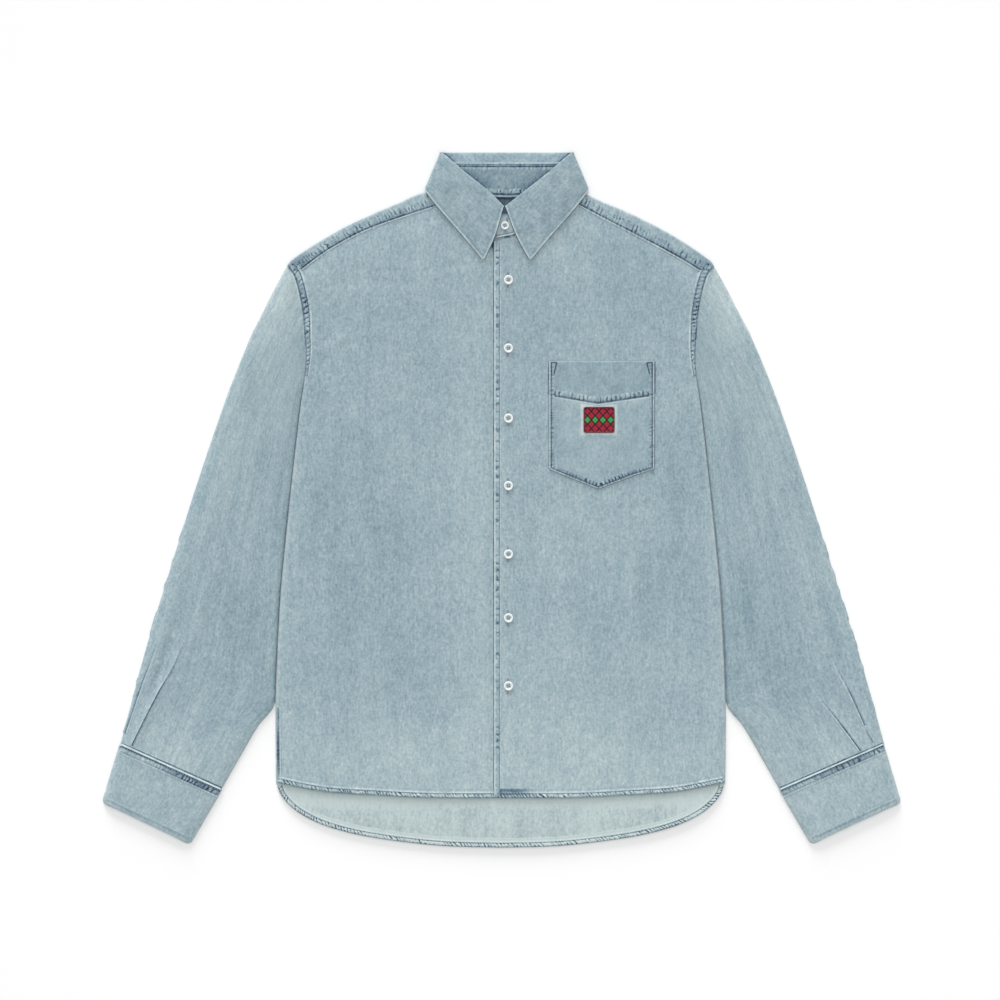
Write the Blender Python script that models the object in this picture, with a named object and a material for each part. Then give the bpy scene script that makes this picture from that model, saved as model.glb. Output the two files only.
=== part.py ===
"""A long-sleeved denim shirt, buttoned to the neck and laid flat on its back.

Frame: the shirt lies on the plane Z = 0 with its collar towards +Y. The wearer's left
side is at +X. The origin is at the middle of its footprint. Every size below is in
millimetres, and sheet_object() turns them into metres.

Each cut piece is a sheet, given by the middle of its cloth, with a Solidify modifier
for the thickness of the cloth. Pieces that are sewn together stay SEAM_GAP apart.
"""
import math

import bmesh
import bpy

MM = 0.001

# --- cloth -----------------------------------------------------------------------------
CLOTH = 1.2               # thickness of a single panel with its weave and slack
COLLAR_CLOTH = 1.8        # two layers and their interlining
CUFF_CLOTH = 1.8
SEAM_GAP = 0.3            # free space between pieces that touch
FLOOR_LAYER = CLOTH / 2   # height of the middle of a panel that lies on the floor

# --- heights of the middle of the cloth on the upper side --------------------------------
EDGE_HEIGHT = CLOTH + SEAM_GAP + CLOTH / 2     # a front that lies straight on the back
SEAM_HEIGHT = 3.2         # at the armholes and at the yoke
CHEST_HEIGHT = 4.6        # over the slack inside the body
SLEEVE_HEIGHT = 4.5       # over the slack inside a sleeve
CUFF_HEIGHT = 4.6
LAP_UNDER = 3.0           # the under-lap below the buttons
LAP_OVER = LAP_UNDER + CLOTH + SEAM_GAP        # the over-lap that carries the buttonholes
EDGE_ROLL = 16.0          # width over which a panel rounds down to its edge

# --- body outline, half width at each height -----------------------------------------------
# rows: height up the body (y), half width (x)
BODY_EDGE = (
    (-340.0, 269.0),      # foot of the side seam
    (-306.0, 269.5),
    (-240.0, 269.5),
    (-120.0, 264.0),
    (-43.0, 257.0),
    (24.0, 250.0),
    (120.0, 239.0),
    (146.0, 235.0),       # underarm
    (174.0, 233.0),
    (203.0, 235.0),
    (239.0, 240.0),
    (271.0, 248.0),       # front yoke seam
    (287.0, 251.0),       # shoulder
)
UNDERARM_Y = 146.0
SHOULDER_Y = 287.0
SHOULDER_X = 251.0
FRONT_SEAM_Y = 271.0      # where the front yoke seam meets the armhole

# --- hems -------------------------------------------------------------------------------
# rows: distance from the middle (x), height (y)
BACK_HEM = (
    (0.0, -417.0),
    (60.0, -415.5),
    (110.0, -411.0),
    (169.0, -402.0),
    (210.0, -391.0),
    (236.0, -379.0),
    (253.0, -366.5),
    (264.0, -353.0),
    (269.0, -340.0),
)
FRONT_HEM = (
    (0.0, -357.5),
    (90.0, -357.0),
    (150.0, -354.0),
    (210.0, -350.0),
    (269.0, -339.0),
)

# --- neck, shoulders and yoke --------------------------------------------------------------
NECK_X = 7.5              # the collar was laid this far towards the wearer's left
NECK_POINT = 95.5         # from NECK_X to where the shoulder fold meets the collar
BACK_YOKE_Y = 245.0       # straight seam between yoke and back
# rows: distance from the middle (x), height (y) of the fold along the shoulder
SHOULDER_FOLD = (
    (88.0, 369.0),
    (103.0, 366.0),
    (122.0, 357.5),
    (155.0, 343.5),
    (194.0, 324.0),
    (224.0, 306.0),
    (251.0, 287.0),
)
# rows: distance from the neck's middle (x), height (y)
BACK_NECK = (
    (-95.5, 368.0),
    (-60.0, 361.5),
    (0.0, 359.0),
    (60.0, 361.5),
    (95.5, 368.0),
)
# the front yoke seams, from the neck to the armhole: x, y
YOKE_SEAM_RIGHT = ((-74.5, 355.0), (-158.0, 326.5), (-206.0, 301.5), (-248.0, 271.0))
YOKE_SEAM_LEFT = ((89.5, 357.5), (128.0, 337.0), (166.0, 317.5), (213.5, 292.0), (248.0, 271.0))
# the front neck edge, from the lap out to the yoke: distance outward from NECK_X, height
FRONT_NECK = ((-18.0, 311.0), (0.0, 314.5), (14.0, 319.0), (40.0, 331.0), (66.0, 346.0))

# --- front edges ---------------------------------------------------------------------------
OVER_EDGE_X = -8.0        # turned edge of the over-lap
UNDER_EDGE_X = 26.0       # edge of the under-lap, hidden below it
LAP_EASE = 9.0            # width over which a front steps down or up at the lap

# --- sleeves -------------------------------------------------------------------------------
# rows: height (y), distance from the middle to the outer fold (x)
SLEEVE_OUTER = (
    (-293.0, 459.0),
    (-198.0, 432.5),
    (-90.0, 399.0),
    (18.0, 365.0),
    (126.0, 328.0),
    (198.0, 299.5),
    (225.0, 286.0),
    (252.0, 272.5),
    (271.0, 262.0),
    (287.0, 251.5),
)
# rows: height (y), distance from the middle to the inner fold (x), below the fork
FOREARM_INNER = (
    (-348.0, 334.5),
    (-262.0, 284.0),
    (-247.0, 274.5),
    (-235.0, 270.5),
)
FORK_Y = -235.0           # above it the sleeve lies along the body
SLEEVE_TO_BODY = 1.2      # between the side of the body and the sleeve lying beside it
CUFF_SLANT = 55.0         # the inner end of the cuff seam lies this much lower
ARMHOLE_SLANT = 141.0     # depth of the armhole
SLANT_FADE = 0.13         # share of the sleeve over which one slant turns into the other

# Pleats and folds of the sleeves: foot at the cuff, head up the sleeve, height and width
PLEATS_RIGHT = (
    ("pleat", (-446.0, -299.0), (-380.0, -172.0), 2.2, 10.0),
    ("fold", (-431.0, -232.0), (-392.0, -122.0), 1.2, 14.0),
    ("elbow", (-352.0, -40.0), (-318.0, 96.0), 1.0, 20.0),
)
PLEATS_LEFT = (
    ("pleat", (449.0, -294.0), (398.0, -178.0), 2.2, 10.0),
    ("fold", (430.0, -302.0), (384.0, -236.0), 1.8, 9.0),
    ("elbow", (356.0, -58.0), (322.0, 88.0), 1.0, 20.0),
)
# Soft folds of the fronts: two ends, height and width
FOLDS_RIGHT = (
    ("chest", (-216.0, 150.0), (-128.0, 62.0), 0.9, 16.0),
    ("waist", (-150.0, -60.0), (-172.0, -290.0), 0.8, 20.0),
    ("front", (-52.0, 20.0), (-60.0, -250.0), 0.7, 18.0),
)
FOLDS_LEFT = (
    ("chest", (214.0, 140.0), (196.0, 20.0), 0.8, 16.0),
    ("waist", (152.0, -70.0), (186.0, -296.0), 0.9, 20.0),
    ("front", (66.0, -40.0), (74.0, -270.0), 0.7, 18.0),
)

# --- cuffs ---------------------------------------------------------------------------------
# corners: distance from the middle, height
CUFF_TOP_OUTER = (460.5, -293.0)
CUFF_TOP_INNER = (333.5, -348.6)
CUFF_END_OUTER = (481.2, -362.3)
CUFF_END_INNER = (371.5, -413.5)
CUFF_CORNER = 5.0         # radius of the cuff's corners

# --- collar --------------------------------------------------------------------------------
# One half of the collar, from the front end round to the middle of the back. Each row has
# the leaf's outer edge, the roll, the seam between fall and stand, and the neck seam. x is
# measured from NECK_X. "lay" is +1 where the leaf lies on top and -1 where it lies below.
COLLAR = (
    # lay,   edge x, y, z           roll x, y, z           seam x, y, z           neck x, y, z
    (1.0,  (28.0, 287.5, 6.7),  (3.0, 350.5, 7.9),   (7.0, 345.0, 6.4),   (7.0, 317.6, 5.1)),
    (1.0,  (48.0, 310.5, 6.9),  (24.0, 370.5, 9.2),  (29.0, 364.0, 7.6),  (38.0, 331.0, 5.1)),
    (1.0,  (74.0, 340.2, 6.9),  (52.0, 393.0, 10.6), (57.0, 386.5, 9.0),  (66.0, 347.5, 5.2)),
    (0.8,  (93.5, 363.1, 6.4),  (71.5, 410.5, 10.4), (71.0, 400.5, 8.8),  (85.0, 365.0, 5.2)),
    (0.0,  (98.6, 371.0, 4.4),  (78.3, 415.8, 7.4),  (74.0, 404.0, 7.0),  (91.0, 373.5, 3.6)),
    (-0.8, (91.0, 376.0, 1.5),  (75.0, 415.4, 3.8),  (67.0, 402.5, 5.6),  (80.0, 370.0, 3.2)),
    (-1.0, (50.0, 374.0, 1.1),  (46.0, 415.4, 3.1),  (44.0, 401.5, 5.1),  (48.0, 364.0, 2.9)),
    (-1.0, (0.0, 373.0, 1.1),   (0.0, 415.4, 3.1),   (0.0, 401.5, 5.1),   (0.0, 362.0, 2.8)),
)
ROLL_RADIUS = 1.8         # of the middle of the cloth at the roll
LEAF_BELLY = 1.1          # rise of the leaf between its edge and its roll
LEAF_FRONT_BOW = 2.5      # the leaf's front edge curves this much towards the middle
LEAF_MEET = (-5.0, -0.6)  # how far the tops of the +X and -X leaf lie over towards -X
STAND_SEAM = 0.8          # from the end of the fall to the stand, which bends away from it
STAND_LAP_OVER = 20.0     # reach of the stand's upper end past its leaf
STAND_LAP_UNDER = 24.0    # reach of the lower end
STAND_LAP_SLOPE = 0.2     # the lapping ends of the neck seam fall by this much a millimetre
STAND_DROP = 2.7          # the lower end lies this much deeper
STAND_TIP_CORNER = 5.0    # rise of the rounded corner at the tip of the stand
FALL_DROP = 1.2           # and the seam of its leaf this much

# --- pocket and patch ----------------------------------------------------------------------
POCKET_LEFT = 58.0
POCKET_RIGHT = 184.5
POCKET_TOP = 166.5
POCKET_SIDE_FOOT = 37.0
POCKET_TIP = (117.0, 13.0)
POCKET_KNEE_LEFT = (76.0, 29.5)
POCKET_KNEE_RIGHT = (158.0, 28.5)
PATCH_CENTRE = (118.0, 96.0)
PATCH_SIZE = (37.0, 31.0)
PATCH_CORNER = 3.0
PATCH_CLOTH = 1.0

# --- buttons -------------------------------------------------------------------------------
BUTTON_X = 9.5
BUTTON_HEIGHTS = (264.0, 182.0, 98.0, 17.0, -65.0, -141.5, -223.0)
COLLAR_BUTTON = (5.3, 329.0)
BUTTON_RADIUS = 5.7
COLLAR_BUTTON_RADIUS = 5.0
COLLAR_BUTTON_REST = 0.7  # share of its radius, above its middle, where it touches the stand
BUTTON_THICKNESS = 2.4
BUTTON_RIM = 1.5          # width of the raised rim
BUTTON_DISH = 0.6         # depth of the dish inside the rim
BUTTON_BACK = 0.8         # radius of the button's back, as a share
BUTTON_CREST = 0.4        # from its outer edge to the rim's crest, as a share of the rim
BUTTON_SIDES = 16

# --- spacing of the meshes -------------------------------------------------------------------
UNDERARM_RISE = 50.0      # height over which a front's edge rises to the armhole seam
SEAM_RISE = 30.0          # depth over which a front rises from its upper seam to the chest
SLEEVE_RISE = 0.15        # share of a sleeve over which it rises from the armhole seam
SLEEVE_BEND = 0.3         # share over which its lines follow the curve of the armhole
FRONT_ROWS = 24
FRONT_COLUMNS = 8
FRONT_EDGE_STEPS = (16.0, 8.0, 3.0)    # columns this far inside the armhole
OVER_COLUMNS = (4.0, 15.0, 52.0, 70.0)  # x of more columns of the over-lapping front
UNDER_COLUMNS = (9.0, -34.0, -54.0)    # and of the under-lapping one
YOKE_STRIP_COLUMNS = 9
YOKE_NECK_COLUMNS = 8
YOKE_ROWS = 2
YOKE_TURN = (0.3, 0.35)   # the quarter points of its turned fold, back from it and up
BACK_SHARES = (0.0, 0.2, 0.4, 0.58, 0.72, 0.83, 0.9, 0.95, 0.98, 1.0)    # of half its width
BACK_DROPS = (0.0, 0.07, 0.14, 0.2, 0.35, 0.6, 0.85, 1.0)                # of its length
SLEEVE_SHARES = (0.0, 0.012, 0.04, 0.09, 0.16, 0.25, 0.36, 0.48, 0.6, 0.72, 0.83, 0.91, 0.96,
                 0.988, 1.0)
SLEEVE_STATIONS = (0.0, 0.02, 0.045, 0.08, 0.12, 0.17, 0.23, 0.3, 0.37, 0.44, 0.51, 0.58, 0.65,
                   0.72, 0.78, 0.83, 0.87, 0.9, 0.93, 0.965, 1.0)
CUFF_SHARES = (0.0, 0.02, 0.06, 0.12, 0.25, 0.4, 0.5, 0.6, 0.75, 0.88, 0.94, 0.98, 1.0)
CUFF_STATIONS = (0.0, 0.3, 0.6)        # above the rounded corners
CUFF_CORNER_STEPS = 3
COLLAR_STEPS = 3                       # between two rows of the collar's table
LEAF_STEPS = 2                         # between two of its columns
STAND_STEPS = 3
STAND_TIP_SHARES = (1.0, 0.85, 0.45)   # of the reach of the stand's ends
POCKET_ROWS = 8
POCKET_COLUMNS = (66.0, 96.0, 138.0, 171.0)    # x of columns between the pocket's corners
PATCH_CORNER_SHARE = 0.96              # the corners' points are drawn in to this share

# --- finish --------------------------------------------------------------------------------
DENIM = ("denim", (0.34, 0.44, 0.49), 0.9)
DENIM_COLLAR = ("denim_collar", (0.31, 0.41, 0.45), 0.9)
WOVEN_PATCH = ("woven_patch", (0.30, 0.02, 0.03), 0.8)
BUTTON_PLASTIC = ("button_plastic", (0.86, 0.87, 0.87), 0.35)


# --- curves --------------------------------------------------------------------------------
def curve_value(rows, at):
    """Read a smooth curve through rows of (at, value), flat beyond its ends."""
    if at <= rows[0][0]:
        return rows[0][1]
    if at >= rows[-1][0]:
        return rows[-1][1]
    upper = next(i for i in range(1, len(rows)) if at <= rows[i][0])
    x0, y0 = rows[upper - 1]
    x1, y1 = rows[upper]
    step = (y1 - y0) / (x1 - x0)
    before = step
    after = step
    if upper > 1:
        before = (y1 - rows[upper - 2][1]) / (x1 - rows[upper - 2][0])
    if upper < len(rows) - 1:
        after = (rows[upper + 1][1] - y0) / (rows[upper + 1][0] - x0)
    t = (at - x0) / (x1 - x0)
    width = x1 - x0
    rise = (2 * t ** 3 - 3 * t ** 2 + 1) * y0 + (3 * t ** 2 - 2 * t ** 3) * y1
    return rise + width * ((t ** 3 - 2 * t ** 2 + t) * before + (t ** 3 - t ** 2) * after)


def smooth_path(points, steps):
    """Points of a Catmull-Rom curve, with so many steps between neighbours."""
    count = len(points)
    path = []
    for i in range(count - 1):
        before = points[max(i - 1, 0)]
        start, end = points[i], points[i + 1]
        after = points[min(i + 2, count - 1)]
        for k in range(steps):
            t = k / steps
            path.append(tuple(
                0.5 * (2 * b + (c - a) * t + (2 * a - 5 * b + 4 * c - d) * t * t
                       + (3 * b - a - 3 * c + d) * t ** 3)
                for a, b, c, d in zip(before, start, end, after)))
    path.append(tuple(points[-1]))
    return path


def mix(a, b, t):
    return a + (b - a) * t


def ease(t):
    """0 to 1 with level ends."""
    t = min(max(t, 0.0), 1.0)
    return t * t * (3 - 2 * t)


def rounding(distance, width):
    """0 at an edge and 1 past the width, round like the side of an ellipse."""
    t = min(max(distance / width, 0.0), 1.0)
    return math.sqrt(1 - (1 - t) ** 2)


def fold_height(folds, x, y):
    """Height that the table's soft folds add at a point."""
    total = 0.0
    for _, (x0, y0), (x1, y1), height, width in folds:
        dx, dy = x1 - x0, y1 - y0
        length_sq = dx * dx + dy * dy
        along = ((x - x0) * dx + (y - y0) * dy) / length_sq
        aside = ((x - x0) * dy - (y - y0) * dx) / math.sqrt(length_sq)
        ends = ease((along + 0.15) / 0.3) * ease((1.1 - along) / 0.5)
        total += height * ends * math.exp(-(aside / width) ** 2 * 2.5)
    return total


# --- objects -------------------------------------------------------------------------------
def material(finish):
    name, colour, roughness = finish
    found = bpy.data.materials.get(name)
    if found:
        return found
    made = bpy.data.materials.new(name)
    made.use_nodes = True
    shader = made.node_tree.nodes["Principled BSDF"]
    shader.inputs["Base Color"].default_value = (*colour, 1.0)
    shader.inputs["Roughness"].default_value = roughness
    return made


def mesh_object(name, verts, faces, finish):
    mesh = bpy.data.meshes.new(name)
    mesh.from_pydata([tuple(c * MM for c in v) for v in verts], [], faces)
    shirt_object = bpy.data.objects.new(name, mesh)
    bpy.context.scene.collection.objects.link(shirt_object)
    mesh.materials.append(material(finish))
    return shirt_object


def sheet_object(name, verts, faces, cloth, finish):
    """A sheet of cloth from the points and faces of its middle."""
    sheet = mesh_object(name, verts, faces, finish)
    work = bmesh.new()
    work.from_mesh(sheet.data)
    bmesh.ops.recalc_face_normals(work, faces=work.faces)
    work.to_mesh(sheet.data)
    work.free()
    sheet.data.shade_smooth()
    thickness = sheet.modifiers.new("cloth", "SOLIDIFY")
    thickness.thickness = cloth * MM
    thickness.offset = 0.0
    thickness.use_even_offset = False
    return sheet


def grid_faces(rows, columns, closed=False):
    """Quads of a grid stored row by row; a closed grid joins its last column to its first."""
    faces = []
    for r in range(rows - 1):
        for c in range(columns if closed else columns - 1):
            d = (c + 1) % columns
            faces.append((r * columns + c, r * columns + d,
                          (r + 1) * columns + d, (r + 1) * columns + c))
    return faces


# --- body ----------------------------------------------------------------------------------
def yoke_seam(side, out):
    """Height of the front yoke seam at a distance out from the middle. side is -1 or +1."""
    rows = YOKE_SEAM_LEFT if side > 0 else YOKE_SEAM_RIGHT
    return curve_value([(abs(x), y) for x, y in rows], out)


def front_top(side, x):
    """Upper edge of a front: its neck edge, then its yoke seam."""
    seam = YOKE_SEAM_LEFT if side > 0 else YOKE_SEAM_RIGHT
    if side * x >= abs(seam[0][0]):
        return yoke_seam(side, side * x) - SEAM_GAP
    neck = list(FRONT_NECK)
    neck.append((side * (seam[0][0] - NECK_X), seam[0][1]))
    return curve_value(neck, side * (x - NECK_X)) - SEAM_GAP


def front_height(side, x, y):
    """Height of the middle of a front's cloth."""
    outer = curve_value(BODY_EDGE, y)
    edge = mix(EDGE_HEIGHT, SEAM_HEIGHT, ease((y - UNDERARM_Y) / UNDERARM_RISE))
    rise = ease((front_top(side, x) - y) / SEAM_RISE)
    chest = mix(SEAM_HEIGHT, CHEST_HEIGHT, rise)
    level = mix(edge, chest, rounding(outer - abs(x), EDGE_ROLL))
    folds = FOLDS_LEFT if side > 0 else FOLDS_RIGHT
    level += fold_height(folds, x, y) * rounding(outer - abs(x), 2 * EDGE_ROLL) * rise
    if side < 0:
        under = ease((x - OVER_EDGE_X + LAP_EASE) / LAP_EASE)
        return mix(level, LAP_UNDER, under)
    over = 1 - ease((x - UNDER_EDGE_X) / LAP_EASE)
    return mix(level, LAP_OVER, over)


def front_columns(side):
    """x of the columns at the top of a front, from its front edge to the armhole."""
    inner = (YOKE_SEAM_LEFT if side > 0 else YOKE_SEAM_RIGHT)[0][0]
    edge = side * (SHOULDER_X - 3.0)
    lap = (OVER_EDGE_X, UNDER_EDGE_X, UNDER_EDGE_X + LAP_EASE, *OVER_COLUMNS)
    if side < 0:
        lap = (UNDER_EDGE_X, OVER_EDGE_X, OVER_EDGE_X - LAP_EASE, *UNDER_COLUMNS)
    first_step, *steps = (edge - side * step for step in FRONT_EDGE_STEPS)
    chest = [mix(inner, first_step, k / FRONT_COLUMNS) for k in range(FRONT_COLUMNS + 1)]
    return sorted((*lap, *chest, *steps, edge), key=lambda x: side * x)


def front(name, side):
    columns = front_columns(side)
    first, last = columns[0], columns[-1]
    verts = []
    for r in range(FRONT_ROWS + 1):
        drop = r / FRONT_ROWS
        for x_top in columns:
            across = (x_top - first) / (last - first)
            top = front_top(side, x_top)
            x_foot = mix(first, side * BODY_EDGE[0][1], across)
            foot = curve_value(FRONT_HEM, abs(x_foot))
            y = mix(top, foot, drop)
            outer = curve_value(BODY_EDGE, min(y, FRONT_SEAM_Y))
            x = mix(first, side * (outer - SEAM_GAP / 2), across)
            verts.append((x, y, front_height(side, x, y)))
    return sheet_object(name, verts, grid_faces(FRONT_ROWS + 1, len(columns)), CLOTH, DENIM)


def back():
    across = [-s for s in reversed(BACK_SHARES[1:])] + list(BACK_SHARES)
    half_foot = BACK_HEM[-1][0]
    verts = []
    for drop in BACK_DROPS:
        for share in across:
            foot = curve_value(BACK_HEM, abs(share) * half_foot)
            y = mix(BACK_YOKE_Y - SEAM_GAP, foot, drop)
            outer = curve_value(BODY_EDGE, y) - SEAM_GAP / 2
            verts.append((share * outer, y, FLOOR_LAYER))
    return sheet_object("back", verts, grid_faces(len(BACK_DROPS), len(across)), CLOTH, DENIM)


def yoke():
    """One sheet on the floor, with a strip folded over the top of each shoulder."""
    right_neck, left_neck = NECK_X - NECK_POINT, NECK_X + NECK_POINT
    strip = [k / YOKE_STRIP_COLUMNS for k in range(YOKE_STRIP_COLUMNS + 1)]
    columns = [mix(-SHOULDER_X, right_neck, share) for share in strip]
    columns += [mix(right_neck, left_neck, k / YOKE_NECK_COLUMNS)
                for k in range(1, YOKE_NECK_COLUMNS)]
    columns += [mix(left_neck, SHOULDER_X, share) for share in strip]
    fold = (SEAM_HEIGHT - FLOOR_LAYER) / 2
    verts = []
    chains = []
    for x_top in columns:
        on_strip = x_top <= right_neck + 0.01 or x_top >= left_neck - 0.01
        if on_strip:
            ridge = curve_value(SHOULDER_FOLD, abs(x_top)) - CLOTH / 2
        else:
            ridge = curve_value(BACK_NECK, x_top - NECK_X)
        share = x_top / SHOULDER_X
        chain = []
        turn = fold if on_strip else 0.0
        for r in range(YOKE_ROWS + 1):
            y = mix(BACK_YOKE_Y, ridge - turn, r / YOKE_ROWS)
            chain.append((y, FLOOR_LAYER))
        if on_strip:
            side = 1 if x_top > 0 else -1
            seam = yoke_seam(side, abs(x_top))
            seam = yoke_seam(side, abs(share) * curve_value(BODY_EDGE, seam))
            back_off, up = YOKE_TURN[0] * fold, YOKE_TURN[1] * fold
            chain.append((ridge - back_off, FLOOR_LAYER + up))
            chain.append((ridge, FLOOR_LAYER + fold))
            chain.append((ridge - back_off, SEAM_HEIGHT - up))
            for r in range(YOKE_ROWS + 1):
                chain.append((mix(ridge - turn, seam, r / YOKE_ROWS), SEAM_HEIGHT))
        start = len(verts)
        for y, z in chain:
            outer = curve_value(BODY_EDGE, y) - SEAM_GAP / 2
            verts.append((share * min(outer, SHOULDER_X), y, z))
        chains.append(range(start, len(verts)))
    faces = []
    for left, right in zip(chains, chains[1:]):
        for r in range(min(len(left), len(right)) - 1):
            faces.append((left[r], right[r], right[r + 1], left[r + 1]))
    return sheet_object("yoke", verts, faces, CLOTH, DENIM)


# --- sleeves and cuffs -----------------------------------------------------------------------
def sleeve_inner(y):
    if y > FORK_Y:
        return curve_value(BODY_EDGE, y) + SLEEVE_TO_BODY
    return curve_value(FOREARM_INNER, y)


def ring(plan, low, high, width, cloth, across):
    """Closed ring of a flattened tube: along the floor and back over the top.

    plan(u) gives x and y for u from 0 at one fold to 1 at the other.
    """
    inset = cloth / 2 / width
    points = []
    for u in reversed(across[1:-1]):
        points.append((*plan(mix(inset, 1 - inset, u)), low))
    for u in across:
        edge = rounding(min(u, 1 - u) * width, EDGE_ROLL)
        x, y = plan(mix(inset, 1 - inset, u))
        points.append((x, y, mix(low, high(x, y), edge)))
    return points


def sleeve(name, side):
    pleats = PLEATS_LEFT if side > 0 else PLEATS_RIGHT
    top_y, foot_y = SLEEVE_OUTER[-1][0], SLEEVE_OUTER[0][0]
    verts = []
    for s in SLEEVE_STATIONS:
        outer_y = mix(top_y, foot_y + SEAM_GAP, s)
        slant = CUFF_SLANT + (ARMHOLE_SLANT - CUFF_SLANT) * math.exp(-s / SLANT_FADE)
        inner_y = outer_y - slant
        outer = (curve_value(SLEEVE_OUTER, outer_y), outer_y)
        inner = (sleeve_inner(inner_y), inner_y)
        width = math.dist(outer, inner)
        bend = ease(1 - s / SLEEVE_BEND)

        def plan(u, outer=outer, inner=inner, bend=bend):
            x, y = mix(outer[0], inner[0], u), mix(outer[1], inner[1], u)
            arm_y = mix(SHOULDER_Y, UNDERARM_Y, u)
            arm_x = curve_value(BODY_EDGE, arm_y) + SEAM_GAP
            chord = mix(curve_value(BODY_EDGE, SHOULDER_Y), curve_value(BODY_EDGE, UNDERARM_Y), u)
            return side * (x + bend * (arm_x - chord - SEAM_GAP)), y

        def high(x, y, s=s):
            body = mix(SEAM_HEIGHT, SLEEVE_HEIGHT, ease(s / SLEEVE_RISE))
            return body + fold_height(pleats, x, y)

        verts += ring(plan, FLOOR_LAYER, high, width, CLOTH, SLEEVE_SHARES)
    columns = 2 * len(SLEEVE_SHARES) - 2
    faces = grid_faces(len(SLEEVE_STATIONS), columns, closed=True)
    return sheet_object(name, verts, faces, CLOTH, DENIM)


def cuff(name, side):
    depth = math.dist(CUFF_TOP_OUTER, CUFF_END_OUTER)
    stations = [(s, 0.0) for s in CUFF_STATIONS]
    for k in range(CUFF_CORNER_STEPS + 1):
        angle = math.pi / 2 * k / CUFF_CORNER_STEPS
        stations.append((1 - CUFF_CORNER * (1 - math.sin(angle)) / depth,
                         CUFF_CORNER * (1 - math.cos(angle))))
    verts = []
    for s, inset in stations:
        outer = [mix(a, b, s) for a, b in zip(CUFF_TOP_OUTER, CUFF_END_OUTER)]
        inner = [mix(a, b, s) for a, b in zip(CUFF_TOP_INNER, CUFF_END_INNER)]
        width = math.dist(outer, inner)
        cut = inset / width

        def plan(u, outer=outer, inner=inner, cut=cut):
            t = mix(cut, 1 - cut, u)
            return side * mix(outer[0], inner[0], t), mix(outer[1], inner[1], t)

        verts += ring(plan, CUFF_CLOTH / 2, lambda x, y: CUFF_HEIGHT, width, CUFF_CLOTH, CUFF_SHARES)
    faces = grid_faces(len(stations), 2 * len(CUFF_SHARES) - 2, closed=True)
    return sheet_object(name, verts, faces, CUFF_CLOTH, DENIM)


# --- collar ----------------------------------------------------------------------------------
def collar_rows():
    """The whole collar as rows (side, lay, edge, roll, seam, neck), +X end first."""
    flat = [(lay, *edge, *roll, *seam, *neck) for lay, edge, roll, seam, neck in COLLAR]
    half = smooth_path(flat, COLLAR_STEPS)
    places = range(len(half))
    rows = [(1, place) for place in places] + [(-1, place) for place in reversed(places[:-1])]
    made = []
    for side, place in rows:
        lay, *numbers = half[place]
        parts = [numbers[k:k + 3] for k in range(0, len(numbers), 3)]
        edge, roll, seam, neck = [(NECK_X + side * x, y, z) for x, y, z in parts]
        meet = LEAF_MEET[0 if side > 0 else 1] * max(1 - place / COLLAR_STEPS, 0.0)
        made.append((side, lay, edge, (roll[0] + meet, roll[1], roll[2]), seam, neck))
    return made


def toward(a, b, distance):
    """Point at a distance from a on the way to b."""
    whole = math.dist(a, b)
    return tuple(mix(p, q, distance / whole) for p, q in zip(a, b))


def collar_fall():
    """The leaf rises from its edge, rolls over and comes back to the stand."""
    rows = collar_rows()
    verts = []
    for index, (side, lay, edge, roll, seam, _) in enumerate(rows):
        level_roll = (roll[0], roll[1], edge[2])
        outline = toward(level_roll, edge, COLLAR_CLOTH / 2)
        crest = toward(level_roll, edge, COLLAR_CLOTH / 2 + ROLL_RADIUS)
        crest = (crest[0], crest[1], roll[2] + lay * ROLL_RADIUS)
        if side < 0 and index > len(rows) - COLLAR_STEPS - 2:
            seam = (seam[0], seam[1], seam[2] - FALL_DROP)
        belly = [mix(p, q, 0.5) for p, q in zip(edge, crest)]
        belly[2] += LEAF_BELLY * max(lay, 0.0)
        if index in (0, len(rows) - 1):
            belly[0] -= side * LEAF_FRONT_BOW
        nodes = (edge, tuple(belly), crest, (outline[0], outline[1], roll[2]), seam)
        verts += smooth_path(nodes, LEAF_STEPS)
    columns = (len(nodes) - 1) * LEAF_STEPS + 1
    return sheet_object("collar_fall", verts, grid_faces(len(rows), columns), COLLAR_CLOTH,
                        DENIM_COLLAR)


def collar_stand():
    """The band from the neck seam to the fall; its ends lap at the front."""
    rows = collar_rows()
    ends = []
    for side, lap, drop in ((1, STAND_LAP_OVER, 0.0), (-1, STAND_LAP_UNDER, STAND_DROP)):
        _, _, _, _, seam, neck = rows[0] if side > 0 else rows[-1]
        tip = []
        for share in STAND_TIP_SHARES:
            x_shift = -side * lap * share
            corner = STAND_TIP_CORNER * (share == 1.0)
            slope = STAND_LAP_SLOPE * abs(x_shift)
            tip.append(((seam[0] + x_shift, seam[1] - corner, seam[2] - drop),
                        (neck[0] + x_shift, neck[1] - slope, neck[2] - drop)))
        ends.append(tip)
    bands = list(ends[0])
    for index, (side, _, _, _, seam, neck) in enumerate(rows):
        to_end = (len(rows) - 1 - index) / COLLAR_STEPS
        sunk = STAND_DROP * max(0.0, 1 - to_end) if side < 0 else 0.0
        bands.append(((seam[0], seam[1], seam[2] - sunk), (neck[0], neck[1], neck[2] - sunk)))
    bands += list(reversed(ends[1]))
    verts = []
    for seam, neck in bands:
        top = toward(seam, neck, STAND_SEAM)
        for k in range(STAND_STEPS + 1):
            verts.append(tuple(mix(p, q, k / STAND_STEPS) for p, q in zip(top, neck)))
    return sheet_object("collar_stand", verts, grid_faces(len(bands), STAND_STEPS + 1),
                        COLLAR_CLOTH, DENIM_COLLAR)


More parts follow.
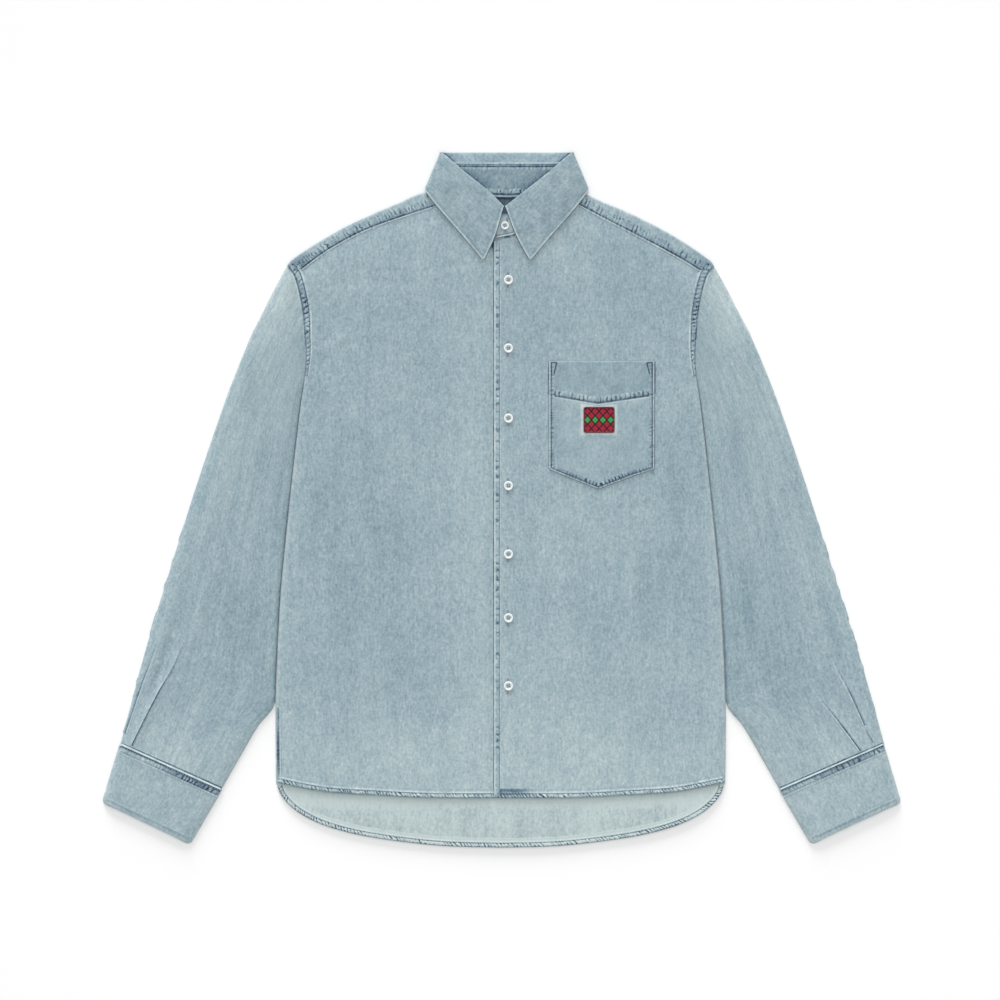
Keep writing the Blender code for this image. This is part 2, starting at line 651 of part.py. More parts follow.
# --- pocket, patch and buttons -----------------------------------------------------------------
def pocket_foot(x):
    rows = ((POCKET_LEFT, POCKET_SIDE_FOOT), POCKET_KNEE_LEFT, POCKET_TIP, POCKET_KNEE_RIGHT,
            (POCKET_RIGHT, POCKET_SIDE_FOOT))
    upper = next(i for i in range(1, len(rows)) if x <= rows[i][0] or i == len(rows) - 1)
    (x0, y0), (x1, y1) = rows[upper - 1], rows[upper]
    return mix(y0, y1, (x - x0) / (x1 - x0))


def pocket():
    """Laid on the front: the front's own points, moved out."""
    lift = CLOTH + SEAM_GAP
    columns = sorted((POCKET_LEFT, POCKET_KNEE_LEFT[0], POCKET_TIP[0], POCKET_KNEE_RIGHT[0],
                      POCKET_RIGHT, *POCKET_COLUMNS))
    verts = []
    for r in range(POCKET_ROWS + 1):
        for x in columns:
            y = mix(POCKET_TOP, pocket_foot(x), r / POCKET_ROWS)
            verts.append((x, y, front_height(1, x, y) + lift))
    return sheet_object("pocket", verts, grid_faces(POCKET_ROWS + 1, len(columns)), CLOTH, DENIM)


def patch():
    """A small woven label with rounded corners on the pocket."""
    half_x, half_y = PATCH_SIZE[0] / 2, PATCH_SIZE[1] / 2
    lift = CLOTH + SEAM_GAP + CLOTH / 2 + SEAM_GAP + PATCH_CLOTH / 2
    columns = (-half_x, PATCH_CORNER - half_x, -half_x / 3, half_x / 3, half_x - PATCH_CORNER, half_x)
    rows = (half_y, half_y - PATCH_CORNER, half_y / 3, -half_y / 3, PATCH_CORNER - half_y, -half_y)
    verts = []
    for dy in rows:
        for dx in columns:
            at_corner = abs(dx) == half_x and abs(dy) == half_y
            share = PATCH_CORNER_SHARE if at_corner else 1.0
            x, y = PATCH_CENTRE[0] + share * dx, PATCH_CENTRE[1] + share * dy
            verts.append((x, y, front_height(1, x, y) + lift))
    return sheet_object("patch", verts, grid_faces(len(rows), len(columns)), PATCH_CLOTH,
                        WOVEN_PATCH)


def button(name, x, y, seat, radius):
    """A dished disc, turned about its own axis."""
    low, high = seat + SEAM_GAP, seat + SEAM_GAP + BUTTON_THICKNESS
    profile = ((radius * BUTTON_BACK, low), (radius, (low + high) / 2),
               (radius - BUTTON_RIM * BUTTON_CREST, high), (radius - BUTTON_RIM, high - BUTTON_DISH))
    verts = [(x, y, low)]
    for reach, z in profile:
        for k in range(BUTTON_SIDES):
            angle = 2 * math.pi * k / BUTTON_SIDES
            verts.append((x + reach * math.cos(angle), y + reach * math.sin(angle), z))
    verts.append((x, y, high - BUTTON_DISH))
    faces = []
    last = len(verts) - 1
    outer_ring = 1 + (len(profile) - 1) * BUTTON_SIDES
    for k in range(BUTTON_SIDES):
        n = (k + 1) % BUTTON_SIDES
        faces.append((0, 1 + n, 1 + k))
        for r in range(len(profile) - 1):
            a, b = 1 + r * BUTTON_SIDES, 1 + (r + 1) * BUTTON_SIDES
            faces.append((a + k, a + n, b + n, b + k))
        faces.append((outer_ring + k, outer_ring + n, last))
    disc = mesh_object(name, verts, faces, BUTTON_PLASTIC)
    disc.data.shade_smooth()
    return disc


def buttons():
    for number, y in enumerate(BUTTON_HEIGHTS, start=1):
        seat = front_height(1, BUTTON_X, y) + CLOTH / 2
        button(f"button_{number}", BUTTON_X, y, seat, BUTTON_RADIUS)
    seam_z, neck_z = COLLAR[0][3][2], COLLAR[0][4][2]
    seam_y, neck_y = COLLAR[0][3][1], COLLAR[0][4][1]
    x, y = COLLAR_BUTTON
    upper_y = y + COLLAR_BUTTON_REST * COLLAR_BUTTON_RADIUS
    seat = mix(neck_z, seam_z, (upper_y - neck_y) / (seam_y - neck_y))
    button("button_collar", x, y, seat + COLLAR_CLOTH / 2, COLLAR_BUTTON_RADIUS)


def main():
    for old in list(bpy.data.objects):
        bpy.data.objects.remove(old, do_unlink=True)
    back()
    yoke()
    front("front_right", -1)
    front("front_left", 1)
    sleeve("sleeve_right", -1)
    sleeve("sleeve_left", 1)
    cuff("cuff_right", -1)
    cuff("cuff_left", 1)
    collar_stand()
    collar_fall()
    pocket()
    patch()
    buttons()


main()
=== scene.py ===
"""The looks of a light washed denim shirt, buttoned to the neck and laid flat on its back.

The file is laid out as an add-on and is run as a script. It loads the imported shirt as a
fixed frame, registers its classes, and calls one operator for each group of pieces.

Frame: metres, +Z up. The shirt lies on Z = 0 with its collar towards +Y, and the wearer's
left side is at +X. The tables are in millimetres, as a pattern is drawn, and
cloth_object() turns them into metres.
"""

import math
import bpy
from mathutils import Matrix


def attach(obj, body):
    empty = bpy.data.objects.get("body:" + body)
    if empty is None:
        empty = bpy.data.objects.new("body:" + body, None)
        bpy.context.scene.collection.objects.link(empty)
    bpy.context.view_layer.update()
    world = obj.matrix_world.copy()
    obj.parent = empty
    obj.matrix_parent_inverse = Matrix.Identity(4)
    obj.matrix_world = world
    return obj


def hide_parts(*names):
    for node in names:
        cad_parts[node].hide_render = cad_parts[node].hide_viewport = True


bl_info = {
    "name": "Denim shirt, laid flat",
    "version": (1, 0, 0),
    "blender": (4, 5, 0),
    "location": "3D View > Sidebar > Shirt",
    "description": "Cloth, seams, stitching, buttons and stage of a washed denim shirt",
    "category": "Object",
}

from collections.abc import Callable
from dataclasses import dataclass

import bmesh
import bpy
import numpy as np
from bpy.types import NodeSocket, Operator, Panel, PropertyGroup
from mathutils import Vector
from numpy.linalg import norm

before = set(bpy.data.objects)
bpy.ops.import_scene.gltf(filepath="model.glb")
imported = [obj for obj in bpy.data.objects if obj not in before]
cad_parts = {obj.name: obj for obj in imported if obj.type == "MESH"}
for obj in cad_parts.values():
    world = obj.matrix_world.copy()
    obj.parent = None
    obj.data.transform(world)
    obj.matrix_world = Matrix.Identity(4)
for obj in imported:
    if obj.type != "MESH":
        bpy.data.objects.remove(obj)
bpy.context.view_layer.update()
BODY = "root"
MM = 0.001
FLOOR_Z = -0.0004  # metres, just below the cloth

# --- cloth ---
CLOTH = 1.2  # thickness of a single panel with its weave and slack
COLLAR_CLOTH = 1.8  # two layers and their interlining
CUFF_CLOTH = 1.8
PATCH_CLOTH = 1.0
SEAM_GAP = 0.3  # free space between pieces that touch
FLOOR_LAYER = CLOTH / 2  # height of the middle of a panel that lies on the floor

# --- heights of the middle of the cloth on the upper side ---
EDGE_HEIGHT = CLOTH + SEAM_GAP + CLOTH / 2
SEAM_HEIGHT = 3.2
CHEST_HEIGHT = 4.6
SLEEVE_HEIGHT = 4.5
CUFF_HEIGHT = 4.6
LAP_UNDER = 3.0
LAP_OVER = LAP_UNDER + CLOTH + SEAM_GAP
EDGE_ROLL = 16.0  # width over which a panel rounds down to its edge

# --- body outline, half width at each height ---
# rows: height up the body (y), half width (x)
BODY_EDGE = (
    (-340, 269),  # foot of the side seam
    (-306, 269.5),
    (-240, 269.5),
    (-120, 264),
    (-43, 257),
    (24, 250),
    (120, 239),
    (146, 235),  # underarm
    (174, 233.2),
    (203, 234.8),
    (222, 236.2),
    (240, 239.2),
    (256, 242.8),
    (266, 245.8),
    (271, 248),  # front yoke seam
    (281, 256),  # shoulder
)
UNDERARM_Y = 146.0
SHOULDER_Y = 281.0
SHOULDER_X = 256.0
FRONT_SEAM_Y = 271.0  # where the front yoke seam meets the armhole
FRONT_SEAM_X = 248.0

# --- hems ---
# rows: distance from the middle (x), height (y)
BACK_HEM = (
    (0, -417), (60, -415.5), (110, -411), (169, -402), (210, -391), (236, -379), (253, -366.5),
    (264, -353), (269, -340),
)
FRONT_HEM = (
    (0, -357.5), (90, -357), (150, -354), (210, -350), (269, -339),
)

# --- neck, shoulders and yoke ---
NECK_X = 7.5  # the collar was laid this far towards the wearer's left
NECK_POINT = 95.5  # from NECK_X to where the shoulder fold meets the collar
BACK_YOKE_Y = 245.0
NECK_TUCK = 6.0  # the yoke's neck edge runs this far up below the stand
# rows: distance from the middle (x), height (y) of the fold along the shoulder
SHOULDER_FOLD = (
    (88, 369), (103, 366), (122, 357.5), (155, 343.5), (194, 324), (224, 306), (251, 287),
    (256, 281),
)
SHOULDER_DROP = 1.5  # the wearer's right shoulder fold lies this much lower
# rows: distance from the neck's middle (x), height (y)
BACK_NECK = (
    (-95.5, 368), (-60, 361.5), (0, 359), (60, 361.5), (95.5, 368),
)
# the front yoke seams, from the neck to the armhole: x, y
YOKE_SEAM = {-1: ((-74.5, 355), (-158, 326.5), (-206, 301.5), (-248, 271)),
             1: ((89.5, 357.5), (128, 337), (166, 317.5), (213.5, 292), (248, 271))}
# the front neck edge, from the lap out to the yoke: distance outward from NECK_X, height
FRONT_NECK = ((-18.0, 311.0), (0.0, 314.5), (14.0, 319.0), (40.0, 331.0), (66.0, 346.0))

# --- front edges ---
OVER_EDGE_X = -8.0  # turned edge of the over-lap
UNDER_EDGE_X = 26.0  # edge of the under-lap, hidden below it
LAP_EASE = 9.0  # width over which a front steps down or up at the lap

# --- sleeves ---
# rows: height (y), distance from the middle to the outer fold (x)
SLEEVE_OUTER = (
    (-293, 459), (-198, 432.5), (-90, 399), (18, 365), (126, 328), (198, 299.5), (225, 286),
    (252, 272.5), (271, 262.2), (281, 256.5),
)
# rows: height (y), distance from the middle to the inner fold (x), below the fork
FOREARM_INNER = (
    (-348, 334.5), (-311, 313.5), (-271, 290), (-259, 279.5), (-250, 272.5), (-244, 270.5),
)
FORK_Y = -244.0  # above it the sleeve lies along the body
SLEEVE_TO_BODY = 0.3
SLEEVE_OUT_LEFT = 1.8  # the wearer's left sleeve lies this much wider
WRIST_IN_RIGHT = 2.4  # and the outer side of the right wrist this much closer
CUFF_SLANT = 55.0  # the inner end of the cuff seam lies this much lower
ARMHOLE_SLANT = SHOULDER_Y - UNDERARM_Y
SLANT_FADE = 0.13  # share of the sleeve over which one slant turns into the other
SLEEVE_WIDTH = 165.0  # rough width of a flattened sleeve, for the spacing of its mesh
SLEEVE_LENGTH = 620.0

# --- cuffs ---
# corners: distance from the middle, height
CUFF_TOP_OUTER = (460.5, -293.0)
CUFF_TOP_INNER = (333.5, -348.6)
CUFF_END_OUTER = (481.2, -362.3)
CUFF_END_INNER = (371.5, -413.5)
CUFF_SIDE = math.dist(CUFF_TOP_OUTER, CUFF_END_OUTER)
CUFF_CORNER = 5.0  # radius of the cuff's corners
CUFF_WIDTH = 135.0  # rough width and depth, for the spacing of its mesh and its grain
CUFF_DEPTH = 72.0

# --- collar ---
# One half of the collar, from the front end round to the middle of the back. Each row has
# the leaf's outer edge, the roll, the seam between fall and stand, and the neck seam. x is
# measured from NECK_X. "lay" is +1 where the leaf lies on top and -1 where it lies below.
COLLAR = (
    # lay, (edge x, y, z), (roll x, y, z), (seam x, y, z), (neck x, y, z)
    (1, (27.7, 285.7, 6.7), (3, 350.5, 7.9), (7, 345, 6.4), (7, 317.6, 5.1)),
    (1, (48, 310.5, 6.9), (24, 370.5, 9.2), (29, 364, 7.6), (38, 331, 5.1)),
    (1, (74, 340.2, 6.9), (52, 393, 10.6), (57, 386.5, 9), (66, 347.5, 5.2)),
    (0.8, (92.8, 363.1, 6.4), (71.5, 410.5, 10.4), (71, 400.5, 8.8), (85, 365, 5.2)),
    (0, (97.2, 371, 4.4), (78.3, 415.8, 7.4), (74, 404, 7), (91, 373.5, 3.6)),
    (-0.8, (91, 376, 1.5), (75, 415.4, 3.8), (67, 402.5, 5.6), (80, 370, 3.2)),
    (-1, (50, 374, 1.1), (46, 415.4, 3.1), (44, 401.5, 5.1), (48, 364, 2.9)),
    (-1, (0, 373, 1.1), (0, 415.4, 3.1), (0, 401.5, 5.1), (0, 362, 2.8)),
)
ROLL_RADIUS = 1.8  # of the middle of the cloth at the roll
LEAF_BELLY = 1.1  # rise of the leaf between its edge and its roll
LEAF_TIP = 4.2  # radius of the leaf's blunt tip
LEAF_STITCH = 4.2  # from the leaf's edge in to its stitching
LEAF_FRONT_BOW = 2.5  # the leaf's front edge curves this much towards the middle
FRONT_BOW_REACH = 1 / 3  # share of the first row's stretch that bows so
LEAF_MEET = (-5.0, -0.6)  # how far the tops of the +X and -X leaf lie over towards -X
STAND_SEAM = 0.8  # from the end of the fall to the stand, which bends away from it
STAND_LAP_OVER = 20.0  # reach of the stand's upper end past its leaf
STAND_LAP_UNDER = 24.0  # reach of the lower end
STAND_LAP_SLOPE = 0.2  # the lapping ends of the neck seam fall by this much a millimetre
STAND_DROP = 2.7  # the lower end lies this much deeper
STAND_TIP_CORNER = 5.0  # rise of the rounded corner at the tip of the stand
FALL_DROP = 1.2  # and the seam of its leaf this much

# --- pocket and patch ---
POCKET_LEFT = 58.0
POCKET_RIGHT = 184.5
POCKET_TOP = 166.5
POCKET_TIP_X = 117.0
# corners of the pocket's foot and of the stitching that holds its deep turned band: x, y
POCKET_FOOT = ((POCKET_LEFT, 37), (76, 29.5), (POCKET_TIP_X, 13), (158, 28.5), (POCKET_RIGHT, 37))
POCKET_BAND_LINE = ((POCKET_LEFT, 126), (POCKET_TIP_X, 116), (POCKET_RIGHT, 126))
PATCH_CENTRE = (118.0, 96.0)
PATCH_SIZE = (37.0, 31.0)
PATCH_CORNER = 3.0
PATCH_LOZENGE = (9.25, 10.3)  # width and height of one lozenge of its lattice
PATCH_RIB = 0.9  # from one rib of its weave to the next
# the reinforcing loops at the pocket's top corners, as lines: x, y from the corner inward
POCKET_TACK = (((3, -15), (2.8, -2.2)), ((2.6, -1.6), (8.8, -1.8)), ((9.2, -2.2), (6, -15)))

# --- buttons ---
BUTTON_X = 9.5
BUTTON_HEIGHTS = (264.0, 182.0, 98.0, 17.0, -65.0, -141.5, -223.0)
COLLAR_BUTTON = (5.3, 329.0)
BUTTON_RADIUS = 5.7
COLLAR_BUTTON_RADIUS = 5.0
BUTTON_THICKNESS = 2.4
BUTTON_WELL = 0.52  # radius of the sunken middle, as a share of the button's
HOLE_SPREAD = 1.15  # from the middle of a button to each of its four holes, both ways
HOLE_RADIUS = 0.68
# the turned profile, from the sunken middle over the rim to the underside
# rows: share of the way from the well to the rim, height as a share of the thickness
BUTTON_PROFILE = ((0.0, 0.50), (0.12, 0.54), (0.30, 0.88), (0.48, 0.99), (0.70, 0.97),
                  (0.90, 0.80), (1.0, 0.50), (0.88, 0.18), (0.58, 0.0), (0.0, 0.0))
BUTTONHOLE = (17.0, 2.6)  # length and width over its stitches
COLLAR_BUTTONHOLE = ((5.6, 321.5), (7.9, 337.0))  # its two ends on the stand

# --- soft creases ---
# rows: name, one end (x, y), other end (x, y), height (below 0 for a trough), width, bow
# The wearer's right side is -1 and their left side is 1.
FOLDS_BODY = {-1: (
    ("chest", (-216, 150), (-128, 62), 0.9, 16, 6),
    ("waist", (-150, -60), (-172, -290), 0.8, 20, -8),
    ("front", (-52, 20), (-60, -250), 0.7, 18, 5),
    ("armhole_drag", (-222, 178), (-176, 204), 0.7, 8, 3),
    ("underarm_drag", (-226, 128), (-206, 30), -0.6, 9, -7),
    ("collar_drag", (-84, 330), (-104, 236), 0.5, 12, 6),
    ("hem_lift", (-206, -330), (-196, -214), 0.6, 12, 4),
    ("lap_trough", (-24, 150), (-28, -30), -0.5, 9, 3),
), 1: (
    ("chest", (214, 140), (196, 20), 0.8, 16, -6),
    ("waist", (152, -70), (186, -296), 0.9, 20, 9),
    ("front", (66, -40), (74, -270), 0.7, 18, -5),
    ("armhole_drag", (221, 190), (182, 222), 0.7, 9, -4),
    ("underarm_drag", (228, 116), (212, 36), -0.6, 8, 5),
    ("collar_drag", (98, 322), (112, 246), 0.5, 12, -5),
    ("hem_lift", (222, -332), (212, -250), 0.6, 11, -4),
    ("lap_trough", (40, 60), (38, -130), -0.5, 9, -3),
)}
FOLDS_SLEEVE = {-1: (
    ("pleat", (-446, -299), (-380, -172), 1.5, 10, 0),
    ("fold", (-431, -232), (-392, -122), 1.2, 14, 0),
    ("fold_trough", (-424, -238), (-387, -138), -0.9, 6, 2),
    ("elbow", (-352, -40), (-318, 96), 1, 20, 0),
    ("crown", (-272, 206), (-292, 120), 0.6, 12, 5),
    ("cuff_gather_a", (-415, -316), (-394, -262), 0.8, 5, 1),
    ("cuff_gather_b", (-398, -322), (-384, -284), -0.6, 4, -1),
    ("cuff_gather_c", (-366, -332), (-348, -282), 0.6, 5, 1),
    ("forearm", (-330, -300), (-306, -190), 0.6, 14, 5),
    ("forearm_long", (-372, -170), (-330, -56), 0.6, 12, -6),
), 1: (
    ("pleat", (449, -294), (398, -178), 1.8, 10, 0),
    ("fold", (430, -302), (384, -236), 1.2, 9, 0),
    ("elbow", (356, -58), (322, 88), 1, 20, 0),
    ("crown", (276, 202), (300, 104), 0.6, 12, -5),
    ("cuff_gather_a", (404, -320), (386, -272), 0.7, 5, -1),
    ("cuff_gather_b", (384, -326), (372, -290), -0.6, 4, 1),
    ("cuff_gather_c", (360, -336), (346, -276), 0.6, 6, 1),
    ("forearm", (328, -286), (304, -178), 0.7, 14, -6),
    ("forearm_long", (378, -150), (340, -40), 0.6, 12, 7),
    ("fold_trough", (416, -222), (388, -128), -0.8, 7, -2),
)}
TAIL_STEP = 1.3  # the back rises this much where it comes out from under the fronts
TAIL_LIFT = 1.5  # its hem curls up this much more
TAIL_REACH = 38.0  # from the front hem to there
FOLDS_TAIL = (
    ("middle", (-40, -340), (-52, -410), 0.7, 16, 0),
    ("left", (120, -340), (134, -404), 0.6, 13, 3),
    ("far_right", (-188, -338), (-178, -396), 0.5, 11, -3),
)

# --- washed areas, with a painted shadow and painted highlights among them ---
# rows: name, centre (x, y), reach (x, y), depth of the blue (below 0 where it is paler)
WASH_AND_SHADING_BODY = (
    # painted shadow: the dark gap between the tip of the -X leaf and the over-lap's edge
    ("shadow_below_leaf_tip", (-9.8, 306), (1.9, 5), 0.9),
    ("chest_right", (-95, 150), (95, 120), 0.01),
    ("belly_right", (-120, -120), (100, 110), 0.035),
    ("flank_right", (-205, 10), (42, 150), 0.05),
    ("middle_right", (-150, 20), (30, 240), 0.02),
    ("hem_right", (-130, -330), (150, 60), -0.07),
    ("neck_right", (-60, 300), (60, 40), 0.02),
    ("shoulder_right", (-200, 250), (60, 50), -0.015),
    # paler along the body's side edge: a painted highlight
    ("side_right", (-263, -60), (13, 200), -0.05),
    ("front_right", (-32, -40), (34, 330), -0.055),
    ("chest_left", (110, 210), (100, 70), 0.03),
    ("belly_left", (130, -150), (60, 60), 0.03),
    ("flank_left", (212, -20), (40, 130), 0.05),
    # paler along the body's side edge: a painted highlight
    ("side_left", (262, -40), (13, 180), -0.05),
    ("hem_left", (140, -330), (150, 60), -0.09),
    ("shoulder_left", (205, 260), (60, 40), 0.01),
    ("front_left", (42, -250), (60, 110), -0.045),
)
WASH_SLEEVE = (
    ("crown", (268, 252), (40, 60), -0.15),
    ("upper_fold", (318, 120), (18, 130), -0.05),
    ("upper", (300, 70), (60, 90), -0.01),
    ("elbow", (352, -60), (70, 70), -0.02),
    ("inner_upper", (272, 140), (26, 55), -0.06),
    ("inner_forearm", (300, -150), (30, 80), 0.05),
    ("forearm", (396, -190), (45, 70), 0.005),
    ("wrist", (400, -310), (80, 60), -0.1),
)


# --- curves and noise ---
def curve(rows, at):
    """Read a smooth curve through rows of (at, value), flat beyond its ends."""
    keys, values = (np.array(column, float) for column in zip(*rows))
    steps = np.diff(values) / np.diff(keys)
    inner = (values[2:] - values[:-2]) / (keys[2:] - keys[:-2])
    slopes = join(steps[:1], inner, steps[-1:])
    at = np.clip(np.asarray(at, float), keys[0], keys[-1])
    upper = np.clip(np.searchsorted(keys, at), 1, len(keys) - 1)
    lower = upper - 1
    width = keys[upper] - keys[lower]
    t = (at - keys[lower]) / width
    rise = (2 * t ** 3 - 3 * t ** 2 + 1) * values[lower] + (3 * t ** 2 - 2 * t ** 3) * values[upper]
    bend = (t ** 3 - 2 * t ** 2 + t) * slopes[lower] + (t ** 3 - t ** 2) * slopes[upper]
    return rise + width * bend


def spline(points, where):
    """A Catmull-Rom curve through rows of points, read at places counted in rows."""
    points = np.asarray(points, float)
    where = np.clip(np.asarray(where, float), 0, len(points) - 1)
    start = np.minimum(where.astype(int), len(points) - 2)
    t = (where - start).reshape((-1,) + (1,) * (points.ndim - 1))
    before, one = points[np.maximum(start - 1, 0)], points[start]
    two, after = points[start + 1], points[np.minimum(start + 2, len(points) - 1)]
    return 0.5 * (2 * one + (two - before) * t
                  + (2 * before - 5 * one + 4 * two - after) * t * t
                  + (3 * one - before - 3 * two + after) * t ** 3)


def runs_of(points):
    """How far along a line each of its points is."""
    return join([0], np.cumsum(norm(np.diff(points, axis=0), axis=1)))


def point_at(points, runs, run):
    """Points of a line, read as far along it as run says."""
    return np.stack([np.interp(run, runs, column) for column in points.T], axis=-1)


def turned(rows):
    """Rows of (share, value), read from the other end."""
    return tuple((1 - at, value) for at, value in reversed(rows))


def mix(a, b, t):
    """From a to b as t goes from 0 to 1."""
    return a + (b - a) * t


def join(*parts, axis=0):
    """Arrays one after the other."""
    return np.concatenate(parts, axis=axis)


def grid(*coordinates):
    """Points from their coordinates."""
    return np.stack(coordinates, axis=-1)


def ease(t):
    """0 to 1 with level ends."""
    t = np.clip(t, 0.0, 1.0)
    return t * t * (3 - 2 * t)


def unit(vectors):
    return vectors / np.maximum(norm(vectors, axis=-1, keepdims=True), 1e-9)


def rotated(x, y, angle):
    return x * np.cos(angle) - y * np.sin(angle), x * np.sin(angle) + y * np.cos(angle)


def near(distance, width):
    """1 on a line and about 0 from two widths away."""
    return np.exp(-(distance / width) ** 2)


def rounding(distance, width):
    """0 at an edge and 1 past the width, round like the side of an ellipse."""
    t = np.clip(np.asarray(distance, float) / width, 0.0, 1.0)
    return np.sqrt(1 - (1 - t) ** 2)


def graded(count, pull):
    """Shares from 0 to 1 that lie closer together towards both ends."""
    t = np.linspace(0.0, 1.0, count)
    return mix(t, ease(t), pull)


def noise(x, y, seed):
    """Smooth noise from -1 to 1, with one knot a unit."""
    knots = np.random.default_rng(seed).uniform(-1, 1, (61, 67))
    x, y = np.broadcast_arrays(np.asarray(x, float), np.asarray(y, float))
    column, row = np.floor(x).astype(int), np.floor(y).astype(int)
    across, up = ease(x - column), ease(y - row)

    def knot(dx, dy):
        return knots[(column + dx) % 61, (row + dy) % 67]

    return mix(mix(knot(0, 0), knot(1, 0), across), mix(knot(0, 1), knot(1, 1), across), up)


def fold_height(folds, x, y):
    """Height that a table's soft folds add at points."""
    total = np.zeros(np.broadcast(x, y).shape)
    for _, (x0, y0), (x1, y1), height, width, bow in folds:
        dx, dy = x1 - x0, y1 - y0
        length = math.hypot(dx, dy)
        along = ((x - x0) * dx + (y - y0) * dy) / length ** 2
        aside = ((x - x0) * dy - (y - y0) * dx) / length
        aside = aside - bow * 4 * along * (1 - along)
        ends = ease((along + 0.15) / 0.3) * ease((1.1 - along) / 0.5)
        total = total + height * ends * np.exp(-(aside / width) ** 2 * 2.5)
    return total


def wash_and_shading_depth(areas, x, y):
    """How much bluer the cloth is at points, from a table of soft areas, some of which are painted shadow
    and painted highlights.
    """
    total = np.zeros(np.broadcast(x, y).shape)
    for _, (cx, cy), (rx, ry), depth in areas:
        total = total + depth * np.exp(-((x - cx) / rx) ** 2 - ((y - cy) / ry) ** 2)
    return total


# --- sizes and colours that a user may change ---
def colour(name, tone, description):
    return bpy.props.FloatVectorProperty(name=name, description=description, subtype="COLOR",
                                         size=3, min=0.0, max=1.0, default=tone)


def amount(name, value, description, **more):
    return bpy.props.FloatProperty(name=name, description=description, default=value, **more)


def metres(name, value, description):
    return amount(name, value, description, unit="LENGTH", precision=5, min=0.0)


def fraction(name, value, description):
    return amount(name, value, description, subtype="FACTOR", min=0.0, max=1.0)


class ShirtCloth(PropertyGroup):
    """Washed denim: its threads, tones and sheen."""

    weft: colour("Weft", (0.62, 0.70, 0.69), "Pale thread that the wash laid bare")
    washed: colour("Washed", (0.305, 0.404, 0.445), "Tone of the cloth from a step away")
    warp: colour("Warp", (0.130, 0.210, 0.270), "Blue thread between the pale flecks")
    indigo: colour("Indigo", (0.034, 0.057, 0.098), "Dye that the wash left in the seams")
    inside: colour("Inside", (0.475, 0.565, 0.565), "Wrong side of the cloth")
    slub_width: metres("Slub width", 0.0024, "Width of the streaks along the grain")
    slub_length: metres("Slub length", 0.010, "Length of the streaks along the grain")
    twill_pitch: metres("Twill pitch", 0.0011, "Distance between two twill lines")
    relief: metres("Relief", 0.00035, "Height of the threads in the bump")
    sheen: fraction("Sheen", 0.12, "Soft light that the cotton fibres catch")
    roughness: fraction("Roughness", 0.86, "Roughness of the cloth")


class ShirtSeams(PropertyGroup):
    """Gathered seams and their stitching."""

    stitch: metres("Stitch", 0.0027, "Length of one stitch")
    stitch_gap: metres("Gap", 0.0008, "From one stitch to the next")
    thread: metres("Thread", 0.00055, "Width of the sewing thread")
    tone: colour("Thread tone", (0.42, 0.52, 0.58), "Tonal sewing thread")
    pucker: fraction("Gathering", 1.0, "Share of the full height of the gathers")


class ShirtTrim(PropertyGroup):
    """Buttons and the woven patch."""

    shell: colour("Button", (0.84, 0.85, 0.85), "White pearly buttons")
    # painted shade for the sunken middle of each button
    well_shade: colour("Button well", (0.36, 0.45, 0.47), "Shaded middle of a button")
    button_thread: colour("Button thread", (0.46, 0.53, 0.56), "Thread through the buttons")
    ground: colour("Patch ground", (0.36, 0.014, 0.038), "Red ground of the patch")
    motif: colour("Patch motif", (0.045, 0.32, 0.065), "Green thread of the patch")
    outline: colour("Patch lines", (0.012, 0.010, 0.014), "Black thread of the patch")


class ShirtStage(PropertyGroup):
    """Floor, lights and camera."""

    floor: colour("Floor", (0.92, 0.92, 0.92), "Plain pale floor")
    key_strength: amount("Key light", 2.85, "Light from beyond the collar, W/m2", min=0.0)
    fill_power: amount("Fill light", 75.0, "Power in watts", subtype="POWER", min=0.0)
    sky: amount("Sky", 0.514, "Strength of the even light all round", min=0.0)
    frame_width: metres("Frame width", 1.2, "Width of floor that the camera sees")
    camera_height: metres("Camera height", 6.0, "Height of the camera above the shirt")
    camera_x: amount("Camera X", -0.0007, "Place of the camera across", unit="LENGTH", precision=5)


def settings():
    scene = bpy.context.scene
    return scene.shirt_cloth, scene.shirt_seams, scene.shirt_trim, scene.shirt_stage


# --- nodes ---
def blank_material(name):
    made = bpy.data.materials.new(name)
    made.use_nodes = True
    made.node_tree.nodes.clear()
    return made, made.node_tree


def add_node(tree, kind, inputs=None, **values):
    """A node with its settings; an input is a number or another node's output."""
    node = tree.nodes.new(kind)
    for key, value in values.items():
        setattr(node, key, value)
    for key, value in (inputs or {}).items():
        if isinstance(value, NodeSocket):
            tree.links.new(value, node.inputs[key])
        else:
            node.inputs[key].default_value = value
    return node


def math_node(tree, operation, *inputs):
    return add_node(tree, "ShaderNodeMath", dict(enumerate(inputs)), operation=operation).outputs[0]


def sum_up(tree, *terms):
    """Sum of (output, factor) pairs."""
    total = 0.0
    for output, factor in terms:
        total = math_node(tree, "MULTIPLY_ADD", output, factor, total)
    return total


def attribute(tree, name, output="Fac"):
    return add_node(tree, "ShaderNodeAttribute", attribute_name=name).outputs[output]


def grain_noise(tree, grain, width, length, detail, roughness=0.5, shift=0.0):
    """Noise stretched along the grain, around 0."""
    scaled = add_node(tree, "ShaderNodeVectorMath",
                      {0: grain, 1: (1 / width, 1 / length, 1.0), 2: (shift, shift, shift)},
                      operation="MULTIPLY_ADD").outputs[0]
    texture = add_node(tree, "ShaderNodeTexNoise",
                       {"Vector": scaled, "Scale": 1.0, "Detail": detail, "Roughness": roughness})
    return math_node(tree, "SUBTRACT", texture.outputs["Fac"], 0.5)


def plain_noise(tree, scale, place=None, **more):
    """Plain noise, read at a place."""
    inputs = {"Vector": place, "Scale": scale, "Detail": 2.0, **more}
    if place is None:
        del inputs["Vector"]
    return add_node(tree, "ShaderNodeTexNoise", inputs).outputs["Fac"]


def on_object(tree):
    return add_node(tree, "ShaderNodeTexCoord").outputs["Object"]


